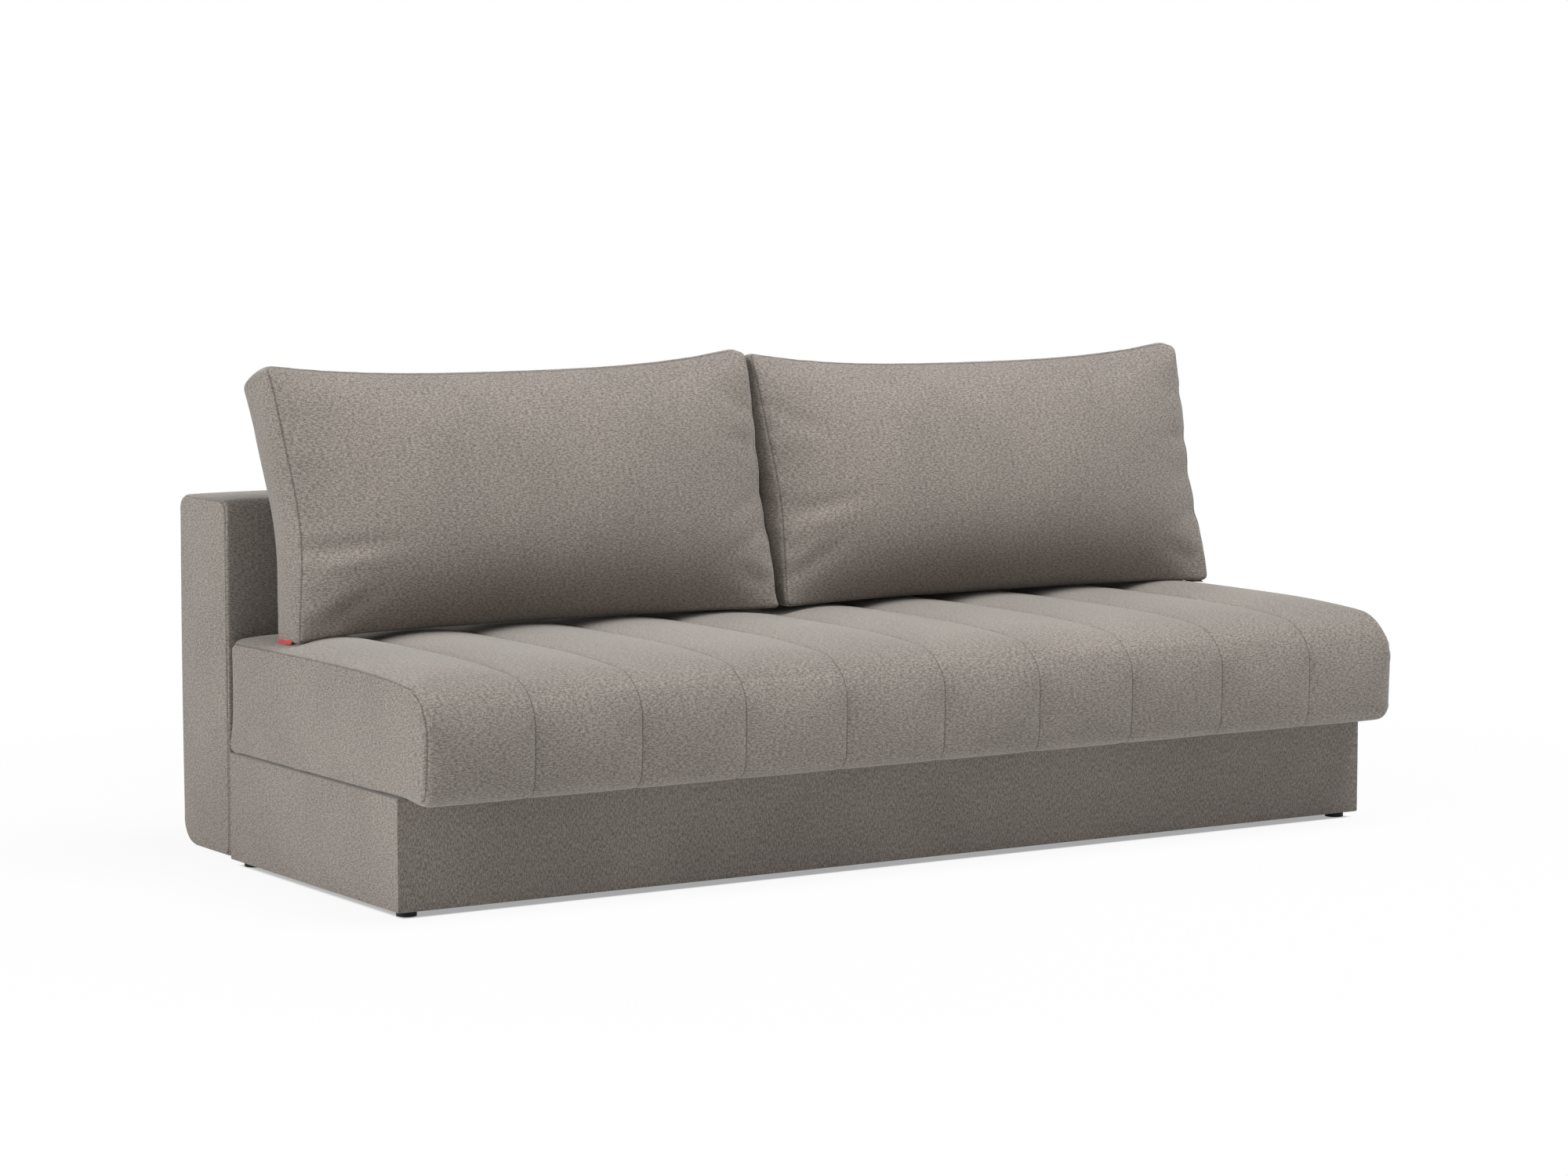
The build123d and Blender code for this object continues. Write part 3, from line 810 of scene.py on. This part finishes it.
def startCushion(name, start, end):  # a box with rounded corners and edges, cut into a fine grid
    spec = cushionSpec
    piece = startBox("cushionCover" + name.capitalize(), start, end)
    for place, radius in ((end[2], spec["topCorner"]), (0, spec["lowCorner"][name])):
        pickEdges(piece, lambda a, b: abs(a.y - b.y) > 0.01 and abs(a.z - place) + abs(b.z - place) < 1e-5)
        bevelPicked(radius, 6)
    pickEdges(piece, lambda a, b: abs(a.y - b.y) < 1e-6)  # the front and rear seams run round the box
    bevelPicked(spec["edge"], 2)
    margin = 3 * spec["edge"]
    for axis in (0, 1, 2):
        cutAcross(piece, axis, evenly(start[axis] + margin, end[axis] - margin, spec["grid"]))
    mergeClose(piece, spec["merge"])
    return piece


def measureCushion(piece, start, end, name):  # how each point lies in the plain box
    spec = cushionSpec
    points = readPoints(piece)
    height = end[2]
    fromFace = np.minimum(points[:, 1], spec["depth"] - points[:, 1])
    fromSide = np.minimum(points[:, 0] - start[0], end[0] - points[:, 0])
    fromEnd = np.minimum(points[:, 2], height - points[:, 2])
    radius = np.where(points[:, 2] > height / 2, spec["topCorner"], spec["lowCorner"][name])
    inCorner = np.hypot(np.maximum(radius - fromSide, 0), np.maximum(radius - fromEnd, 0))
    fromRim = np.where(inCorner > 0, radius - inCorner, np.minimum(fromSide, fromEnd))
    inset = spec["edge"] * (1 - 0.5 ** 0.5)
    rolledY, rolledZ = rollHead(points[:, 1], points[:, 2], height, spec["headRoll"], spec["rollShare"])
    return SimpleNamespace(
        fromFace=fromFace,
        fromSide=fromSide,
        fromEnd=fromEnd,
        fromRim=fromRim,
        onSeam=np.maximum(np.abs(fromFace - inset), np.abs(fromRim - inset)) < spec["seamBand"],
        onPanel=points[:, 1] < spec["edge"] * 0.5,
        inFront=points[:, 1] < spec["depth"] * spec["frontShare"],
        across=(points[:, 0] - start[0]) / (end[0] - start[0]),
        through=rolledY / spec["depth"],
        up=rolledZ / height,
    )


def cushionForm(lie, face, foot, height, share, name):  # front and rear panels on their side outline
    spec = cushionSpec
    up = lie.up
    fill = 1 - np.abs(2 * lie.across - 1) ** spec["roundness"]
    inner = lie.across if name == "left" else 1 - lie.across
    innerRise = spec["innerEar"][name] * inner ** spec["innerReach"]
    head = foot + height + spec["lift"][name] - fill * spec["ear"][name] + innerRise
    arch = 4 * up * (1 - up)
    flat = np.zeros_like(up)
    front = offChord(
        (flat + face - spec["frontFoot"], flat + foot),
        (flat + face - spec["frontHead"], head),
        up,
        arch * spec["seamBow"],
    )
    below = ramp(1 - up / spec["bellyHeight"]) ** spec["underRound"]
    above = ramp((up - spec["bellyHeight"]) / (1 - spec["bellyHeight"])) ** spec["overRound"]
    tucked = below * (spec["belly"] - spec["foot"])
    leaning = above * (spec["belly"] - spec["frontHead"])
    reach = spec["belly"] - tucked - leaning
    front = (front[0] + (face - reach - front[0]) * fill * share, front[1])
    rear = offChord(
        (flat + face - spec["rearFoot"], flat + foot),
        (flat + face + spec["rearHead"], head - spec["headSlope"] - spec["endSlope"] * (1 - fill)),
        up,
        -arch * fill * spec["rearCrown"] * share,
    )
    y, z = (front[i] + (rear[i] - front[i]) * lie.through for i in (0, 1))
    boxing = 4 * lie.through * (1 - lie.through)
    return y, z + spec["earPuff"] * boxing * (1 - fill) * up ** spec["puffReach"]


def endShift(lie, name):  # ends drawn in at mid height, ears standing out
    spec = cushionSpec
    side = np.sign(lie.across - 0.5)
    outer = side == (-1 if name == "left" else 1)
    flare = np.where(outer, spec["earFlare"], spec["innerFlare"])
    base = np.where(outer, spec["footFlare"][name], 0) * ramp(1 - lie.up / spec["flareHeight"])
    hollow = np.cos(np.clip((lie.up - spec["hollowAt"]) / spec["hollowSpan"], -1, 1) * math.pi / 2) ** 2
    ear = ramp((lie.up - spec["earFrom"]) / spec["earSpan"]) ** spec["earCurve"]
    shift = flare * ear + base - spec["endHollow"] * hollow
    return side * np.abs(2 * lie.across - 1) ** spec["endReach"] * shift


def leanOnBack(points, face):  # the rear panel kept off the back and laid over its top edge
    spec = cushionSpec
    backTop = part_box("back_pad")[1].z
    overTop = ramp((points[:, 2] - backTop + spec["leanFrom"]) / spec["leanOver"])
    rearLimit = face - spec["rearGap"] + spec["headLean"] * overTop ** 2
    behind = (points[:, 2] < backTop + spec["backClear"]) & (points[:, 1] > rearLimit)
    points[:, 1] = np.where(behind, rearLimit, points[:, 1])


def puckerWave(along, phase):
    return sum(a * np.sin(along * pitch + lead * phase + start) for a, pitch, lead, start in puckerWaves)


def seamDepths(points, lie, start, end, foot, name):  # seams, folds and puckers drawn into the cloth
    spec = cushionSpec
    sunk = lie.onSeam * spec["seamDepth"]
    for place, rise, length, width, depth, turn in folds[name]:
        x = points[:, 0] - (start[0] + place * (end[0] - start[0]))
        z = points[:, 2] - (foot + rise * end[2])
        along = x * math.cos(math.radians(turn)) + z * math.sin(math.radians(turn))
        over = z * math.cos(math.radians(turn)) - x * math.sin(math.radians(turn))
        sunk = sunk + lie.inFront * depth * np.exp(-((along / length) ** 2) - (over / width) ** 2)
    nearEnd = lie.fromSide < lie.fromEnd
    reach = spec["puckerReach"] * np.where(lie.onPanel, 1.0, spec["boxingReach"])
    strength = np.exp(-((np.where(lie.onPanel, lie.fromRim, lie.fromFace) / reach) ** 2)) * lie.inFront
    strength *= np.where(lie.onPanel, 1.0, spec["boxingShare"])
    strength *= np.where(nearEnd, 1.0, spec["headShare"])
    phase = 0.7 + 1.9 * (lie.across > 0.5) + (name == "right")
    wave = puckerWave(np.where(nearEnd, points[:, 2], points[:, 0]), phase)
    return sunk + spec["pucker"] * strength * wave * (lie.up > spec["puckerFrom"])


def makeCushion(name):
    spec = cushionSpec
    node = "cushion_" + name
    low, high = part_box(node)
    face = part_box("back_pad")[0].y
    foot = low.z
    height = high.z - low.z
    puffs = [spec["outerPuff"][name], spec["innerPuff"]]  # room at the left end and at the right end
    limits = (low.x - spec["earFlare"], high.x)
    if name == "right":
        puffs.reverse()
        limits = (low.x, high.x + spec["earFlare"])
    start = (low.x + puffs[0], 0.0, 0.0)
    end = (high.x - puffs[1], spec["depth"], height)
    piece = startCushion(name, start, end)
    lie = measureCushion(piece, start, end, name)
    points = readPoints(piece)
    share = spec["startShare"]
    points[:, 0] += endShift(lie, name)
    points[:, 1], points[:, 2] = cushionForm(lie, face, foot, height, share, name)
    writePoints(piece, points)
    nearCorner = np.maximum(lie.fromSide, lie.fromEnd) < spec["heldCorner"]
    held = nearCorner | (lie.up < spec["heldFoot"])
    rest, moved = swell(piece, held, spec["pressure"], spec["cap"], gather=lie.onSeam.astype(float))
    points = rest + moved
    points[:, 0] = np.clip(points[:, 0], *limits)
    leanOnBack(points, face)
    writePoints(piece, points)
    points -= readNormals(piece) * seamDepths(points, lie, start, end, foot, name)[:, None]
    points[:, 2] = np.maximum(points[:, 2], foot + spec["restGap"])
    fromOuter = lie.across if name == "left" else 1 - lie.across
    outward = ramp(1 - fromOuter * spec["sagSpan"])
    points[:, 2] -= spec["footSag"][name] * outward * ramp(1 - lie.up / spec["sagHeight"])
    writePoints(piece, points)
    # this mask darkens the cloth colour along the seams: painted shade of the seam grooves
    writeMask(piece, "seam", lie.onSeam)
    applyModifier(piece, "SUBSURF", levels=1, render_levels=1)
    smoothOver(piece)
    layWeave(piece)
    settle(piece, node, "upholstery", upholstery, node)


for name in ("left", "right"):
    makeCushion(name)
print("cushions done")

# blank ribbon tabs, folded double and flared out of the boxing's lower seam
tabSpec = {
    "tuck": 0.006,
    "flare": {"left": 0.0010, "right": 0.0065},
    "top": 0.0067,
    "drop": 0.003,
    "tilt": 0.0035,
    "rows": 6,
    "fold": 0.0007,
}


def makeTab(name, side):
    node = "cushion_tab_" + name
    low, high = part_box(node)
    piece = startBox("ribbonTab" + name.capitalize(), low, high)
    pickEdges(piece, lambda a, b: max(abs(a.z - low.z), abs(b.z - low.z), abs(a.x - b.x)) < 1e-6)
    bevelPicked(tabSpec["fold"], 3)
    cutAcross(piece, 2, evenly(low.z, high.z, (high.z - low.z) / tabSpec["rows"]))
    cutAcross(piece, 1, evenly(low.y, high.y, 0.004))
    points = readPoints(piece)
    down = (high.z - points[:, 2]) / (high.z - low.z)
    back = (points[:, 1] - low.y) / (high.y - low.y)
    wave = 1 + 0.15 * np.sin(back * 2 * math.pi)
    points[:, 0] += side * ((tabSpec["tuck"] + tabSpec["flare"][name]) * down * wave - tabSpec["tuck"])
    points[:, 2] -= tabSpec["top"] + (tabSpec["drop"] - tabSpec["top"]) * down + tabSpec["tilt"] * back
    writePoints(piece, points)
    smoothOver(piece)
    layWeave(piece)
    settle(piece, "cushion_" + name, "tab", ribbon, node)


def makeRibbon():
    material, tree, shader, coords = newMaterial("redRibbon")
    rib = tree.nodes.new("ShaderNodeTexWave")
    rib.bands_direction = "Y"
    rib.inputs["Scale"].default_value = 260
    rib.inputs["Distortion"].default_value = 0.6
    tree.links.new(coords.outputs["UV"], rib.inputs["Vector"])
    tint = blendColours(tree, rib.outputs["Fac"], (0.42, 0.018, 0.022, 1), (0.72, 0.045, 0.045, 1))
    tree.links.new(tint, shader.inputs["Base Color"])
    tree.links.new(spread(tree, rib.outputs["Fac"], 0, 1, 0.7, 0.5), shader.inputs["Roughness"])
    shader.inputs["Sheen Weight"].default_value = 0.2
    addBump(tree, rib.outputs["Fac"], shader, 0.4, 0.0003)
    return material


ribbon = makeRibbon()
makeTab("left", -1)
makeTab("right", 1)
print("tabs done")

# covers on the base panels: cloth drawn over three sides of a board, mitred at the front corners
coverSpec = {
    "radius": 0.0028,
    "cloth": 0.0026,
    "step": 0.05,
    "endGap": 0.02,
    "rowStep": 0.03,
    "rowGap": 0.006,
    "slack": 0.0007,
    "crease": 40,
}


def makeCover(node, body, inward, mitres):
    low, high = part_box(node)
    piece = startBox(node.replace("_", "") + "Cloth", low, high)
    enterEdit(piece, "VERT")
    for place, normal in mitres:
        bpy.ops.mesh.select_all(action="SELECT")
        bpy.ops.mesh.bisect(plane_co=place, plane_no=normal, use_fill=True, clear_outer=True)
    leaveEdit()
    inside = Vector(inward)
    outerPlace = max((-inside).dot(v.co) for v in piece.data.vertices)
    pickFaces(piece, lambda f: f.normal.dot(inside) > 0.9 or f.normal.y > 0.9)
    bpy.ops.mesh.delete(type="ONLY_FACE")
    leaveEdit()
    pickEdges(
        piece,
        lambda a, b: abs(a.z - b.z) < 1e-6 and min((-inside).dot(p) for p in (a, b)) > outerPlace - 1e-5,
    )
    bevelPicked(coverSpec["radius"], 4)
    long = 0 if high.x - low.x > high.y - low.y else 1
    endGap = coverSpec["endGap"]
    rowGap = coverSpec["rowGap"]
    cutAcross(piece, long, evenly(low[long] + endGap, high[long] - endGap, coverSpec["step"]))
    cutAcross(piece, 2, evenly(low.z + rowGap, high.z - rowGap, coverSpec["rowStep"]))
    points = readPoints(piece)
    along = points[:, long]
    inMiddle = ramp(4 * (points[:, 2] - low.z) * (high.z - points[:, 2]) / (high.z - low.z) ** 2)
    ripple = np.sin(along * 9.1 + 0.7) + 0.6 * np.sin(along * 23.7 + points[:, 2] * 31)
    slack = coverSpec["slack"] * ripple * inMiddle
    outside = points @ np.array(-inside) > outerPlace - 0.001
    points -= np.array(inside)[None, :] * (slack * outside)[:, None]
    writePoints(piece, points)
    applyModifier(piece, "SOLIDIFY", thickness=coverSpec["cloth"], offset=-1)
    makeActive(piece)
    bpy.ops.object.shade_smooth_by_angle(angle=math.radians(coverSpec["crease"]))
    layWeave(piece)
    if long == 0:
        turnWeave(piece)
    settle(piece, body, "upholstery", upholstery, node)


def makeCovers():
    low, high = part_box("front_cover")
    diagonal = 0.5 ** 0.5
    makeCover(
        "front_cover",
        "seat",
        (0, 1, 0),
        [((low.x, low.y, 0), (-diagonal, diagonal, 0)), ((high.x, low.y, 0), (diagonal, diagonal, 0))],
    )
    for name, side in (("left", -1), ("right", 1)):
        low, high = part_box("side_cover_" + name)
        outer = low.x if side < 0 else high.x
        makeCover(
            "side_cover_" + name,
            "base",
            (-side, 0, 0),
            [((outer, low.y, 0), (-side * diagonal, -diagonal, 0))],
        )


makeCovers()
print("base covers done")

# cores inside the seat and the back: spring units in pale felt, seen only when taken apart
coreSpec = {"clear": 0.002, "radius": 0.018, "step": 0.1, "margin": 0.03, "tuft": 0.003}


def makeCore(node, body, thinAxis):
    low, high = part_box(node)
    clear = Vector([coreSpec["clear"]] * 3)
    piece = startBox(node.replace("_", "") + "Felt", low + clear, high - clear)
    enterEdit(piece, "EDGE")
    bpy.ops.mesh.select_all(action="SELECT")
    bevelPicked(coreSpec["radius"], 3)
    wide = [axis for axis in (0, 1, 2) if axis != thinAxis]
    for axis in wide:
        margin = coreSpec["margin"]
        cutAcross(piece, axis, evenly(low[axis] + margin, high[axis] - margin, coreSpec["step"] / 2))
    points = readPoints(piece)
    rows = [np.sin((points[:, axis] - low[axis]) / coreSpec["step"] * math.pi) ** 2 for axis in wide]
    toMiddle = np.sign((low[thinAxis] + high[thinAxis]) / 2 - points[:, thinAxis])
    points[:, thinAxis] += toMiddle * coreSpec["tuft"] * (1 - rows[0] * rows[1])
    writePoints(piece, points)
    smoothOver(piece)
    layWeave(piece)
    settle(piece, body, "core", felt, node)


def makeFelt():
    material, tree, shader, coords = newMaterial("paleFelt")
    fibre = addNoise(tree, stretch(tree, coords.outputs["Object"], (700, 500, 600)), 1.0, 4.0, 0.6, False)
    tint = blendColours(tree, fibre, (0.55, 0.52, 0.46, 1), (0.86, 0.84, 0.78, 1))
    tree.links.new(tint, shader.inputs["Base Color"])
    tree.links.new(spread(tree, fibre, 0.3, 0.7, 1.0, 0.85), shader.inputs["Roughness"])
    addBump(tree, fibre, shader, 0.3, 0.0008)
    return material


felt = makeFelt()
makeCore("seat_core", "seat", 2)
makeCore("back_core", "back", 1)
print("cores done")


# finishes of the hard pieces that stay as they are
def makeGrainGroup():
    group, given, put = newGroup(
        "timberGrain",
        {"Vector": "Vector", "Early Wood": "Color", "Late Wood": "Color"},
        {"Color": "Color", "Height": "Float", "Roughness": "Float"},
    )
    place = given.outputs["Vector"]
    rings = addNoise(group, stretch(group, place, (3, 60, 60)), 1.0, 3.0, 0.55, False)
    fibre = addNoise(group, stretch(group, place, (25, 900, 900)), 1.0, 2.0, 0.5, False)
    band = spread(group, rings, 0.42, 0.62)
    colour = blendColours(group, band, given.outputs["Early Wood"], given.outputs["Late Wood"])
    streaks = spread(group, fibre, 0.3, 0.7, 0.86, 1.06)
    group.links.new(scaleColour(group, colour, streaks), put.inputs["Color"])
    group.links.new(fibre, put.inputs["Height"])
    group.links.new(spread(group, fibre, 0.3, 0.7, 0.75, 0.6), put.inputs["Roughness"])
    return group


def makeSpeckGroup():
    group, given, put = newGroup(
        "fineSpeck",
        {"Vector": "Vector", "Size": "Float", "Dark": "Color", "Light": "Color"},
        {"Color": "Color", "Height": "Float"},
    )
    fine = addNoise(group, given.outputs["Vector"], 1.0, 3.0, 0.6, False)
    group.links.new(given.outputs["Size"], fine.node.inputs["Scale"])
    share = spread(group, fine, 0.35, 0.65)
    colour = blendColours(group, share, given.outputs["Dark"], given.outputs["Light"])
    group.links.new(colour, put.inputs["Color"])
    group.links.new(fine, put.inputs["Height"])
    return group


grainGroup = makeGrainGroup()
speckGroup = makeSpeckGroup()

timberTurns = {0: (0, 0, 0), 1: (0, 0, 90), 2: (0, 90, 0)}  # the grain runs along X, Y or Z
timberTints = {
    "timber": {"early": (0.74, 0.57, 0.37, 1), "late": (0.55, 0.38, 0.22, 1)},
    "board": {"early": (0.64, 0.52, 0.37, 1), "late": (0.52, 0.40, 0.27, 1)},
}
speckFinishes = {  # speck size, dark and light grey tint, roughness, metal, shine
    "steel": (900.0, (0.42, 0.43, 0.44, 1), (0.66, 0.67, 0.68, 1), 0.34, 1.0, 0.5),
    "black_plastic": (1400.0, (0.006, 0.006, 0.006, 1), (0.016, 0.016, 0.016, 1), 0.55, 0.0, 0.2),
    "nylon": (1200.0, (0.74, 0.74, 0.69, 1), (0.86, 0.86, 0.82, 1), 0.4, 0.0, 0.5),
    "rubber": (1000.0, (0.018, 0.018, 0.018, 1), (0.045, 0.045, 0.045, 1), 0.8, 0.0, 0.4),
}


def makeTimber(slot, axis):
    material, tree, shader, coords = newMaterial(slot + "XYZ"[axis])
    turn = tree.nodes.new("ShaderNodeMapping")
    turn.inputs["Rotation"].default_value = [math.radians(a) for a in timberTurns[axis]]
    tree.links.new(coords.outputs["Object"], turn.inputs["Vector"])
    woods = {"Early Wood": timberTints[slot]["early"], "Late Wood": timberTints[slot]["late"]}
    grain = addGroup(tree, grainGroup, turn.outputs["Vector"], woods)
    tree.links.new(grain.outputs["Color"], shader.inputs["Base Color"])
    tree.links.new(grain.outputs["Roughness"], shader.inputs["Roughness"])
    addBump(tree, grain.outputs["Height"], shader, 0.2, 0.0004)
    return material


def makeSpeckled(slot):
    size, dark, light, rough, metal, shine = speckFinishes[slot]
    material, tree, shader, coords = newMaterial(slot + "Finish")
    specks = {"Size": size, "Dark": dark, "Light": light}
    speck = addGroup(tree, speckGroup, coords.outputs["Object"], specks)
    tree.links.new(speck.outputs["Color"], shader.inputs["Base Color"])
    shader.inputs["Metallic"].default_value = metal
    shader.inputs["Specular IOR Level"].default_value = shine
    worn = spread(tree, speck.outputs["Height"], 0.3, 0.7, rough * 0.85, rough * 1.15)
    tree.links.new(worn, shader.inputs["Roughness"])
    addBump(tree, speck.outputs["Height"], shader, 0.15, 0.0002)
    return material


grainAxes = {"seat_cross_rails": 1, "seat_slats": 1, "back_stiles": 2}  # all others along X
for name in ("left", "right"):
    grainAxes.update({"side_board_" + name: 1, "inner_board_" + name: 1})
    grainAxes.update({"seat_runner_" + name: 1, "corner_block_" + name: 2})


def finishHardPieces():
    made = {}
    for row in frame["record"]["subparts"]:
        slot, node = row["material_slot"], row["node"]
        if frame["nodes"][node].hide_render:
            continue
        if slot in speckFinishes:
            key = (slot,)
            made[key] = made.get(key) or makeSpeckled(slot)
        else:
            key = (slot if slot in timberTints else "board", grainAxes.get(node, 0))
            made[key] = made.get(key) or makeTimber(*key)
        materials = frame["nodes"][node].data.materials
        materials.clear()
        materials.append(made[key])
    print("hard pieces finished in", len(made), "materials")


finishHardPieces()


# studio: pale floor that fades to white, soft light from above and from the left
studio = {
    "floorSize": 60.0,
    "floorLevel": -0.0005,
    "fade": (1.0, 2.4, 0.92, 1.0),
    "shade": (-0.008, 0.004, 0.4, 1.0),
    "aim": (0, 0, 0.4),
    "worldLight": 0.165,
    "floorTint": 0.8,
    "footprint": {"middle": (0.0, -0.047, 0.0), "half": (0.99, 0.310, 0.0)},
    "top": {"place": (1.0, -1.7, 5.2), "size": 3.0, "power": 268},
    "left": {"place": (-7.0, -0.3, 2.6), "size": 3.5, "power": 288},
}


def addLamp(name, place, size, power):
    lamp = bpy.data.lights.new(name, "AREA")
    lamp.shape = "SQUARE"
    lamp.size = size
    lamp.energy = power
    holder = bpy.data.objects.new(name, lamp)
    bpy.context.scene.collection.objects.link(holder)
    holder.location = place
    holder.rotation_euler = (Vector(studio["aim"]) - Vector(place)).to_track_quat("-Z", "Y").to_euler()


def seenDirectly(tree):  # 1 for what the camera sees, also in a mirror or through glass
    rays = tree.nodes.new("ShaderNodeLightPath")
    total = rays.outputs["Is Camera Ray"]
    for name in ("Is Glossy Ray", "Is Transmission Ray"):
        total = combine(tree, "ADD", total, rays.outputs[name], clamp=True)
    return total


def besideFootprint(tree, coords):  # distance outside the base's rectangle, less than 0 within it
    vector = coords.outputs["Object"]
    middle = studio["footprint"]["middle"]
    half = studio["footprint"]["half"]
    for operation, value in (("SUBTRACT", middle), ("ABSOLUTE", None), ("SUBTRACT", half)):
        node = tree.nodes.new("ShaderNodeVectorMath")
        node.operation = operation
        tree.links.new(vector, node.inputs[0])
        if value:
            node.inputs[1].default_value = value
        vector = node.outputs[0]
    split = tree.nodes.new("ShaderNodeSeparateXYZ")
    tree.links.new(vector, split.inputs[0])
    return combine(tree, "MAXIMUM", split.outputs["X"], split.outputs["Y"])


def makeStudio():
    clearSelection()
    bpy.ops.mesh.primitive_plane_add(size=studio["floorSize"], location=(0, 0, studio["floorLevel"]))
    floor = bpy.context.object
    floor.name = "studioFloor"
    material, tree, shader, coords = newMaterial("paleFloor")
    shader.inputs["Base Color"].default_value = [studio["floorTint"]] * 3 + [1]
    shader.inputs["Roughness"].default_value = 0.9
    white = tree.nodes.new("ShaderNodeEmission")
    away = tree.nodes.new("ShaderNodeVectorMath")
    away.operation = "LENGTH"
    tree.links.new(coords.outputs["Object"], away.inputs[0])
    fade = spread(tree, away.outputs["Value"], *studio["fade"])
    white.inputs["Color"].default_value = (1, 1, 1, 1)
    shade = spread(tree, besideFootprint(tree, coords), *studio["shade"])
    seen = combine(tree, "MULTIPLY", seenDirectly(tree), combine(tree, "MULTIPLY", fade, shade))
    mix = tree.nodes.new("ShaderNodeMixShader")
    tree.links.new(seen, mix.inputs[0])
    tree.links.new(shader.outputs[0], mix.inputs[1])
    tree.links.new(white.outputs[0], mix.inputs[2])
    tree.links.new(mix.outputs[0], tree.nodes["Material Output"].inputs["Surface"])
    floor.data.materials.append(material)
    world = bpy.data.worlds.new("studioWorld")
    bpy.context.scene.world = world
    world.use_nodes = True
    sky = world.node_tree
    ground = sky.nodes["Background"]
    strength = blendValues(sky, seenDirectly(sky), studio["worldLight"], 1.0)
    ground.inputs["Color"].default_value = (1, 1, 1, 1)
    sky.links.new(strength, ground.inputs["Strength"])
    addLamp("topLamp", **studio["top"])
    addLamp("leftLamp", **studio["left"])
    bpy.context.scene.view_settings.view_transform = "Standard"


makeStudio()

viewpoint = {
    "place": (-4.1341, -6.4518, 1.2425),
    "turn": (84.11, 0.0, -32.44),
    "lens": 98.3,
    "sensor": 36.0,
}


def makeCamera():
    lens = bpy.data.cameras.new("photoCamera")
    lens.lens = viewpoint["lens"]
    lens.sensor_width = viewpoint["sensor"]
    camera = bpy.data.objects.new("photoCamera", lens)
    bpy.context.scene.collection.objects.link(camera)
    camera.location = viewpoint["place"]
    camera.rotation_euler = [math.radians(a) for a in viewpoint["turn"]]
    bpy.context.scene.camera = camera


makeCamera()
print("studio and camera done")
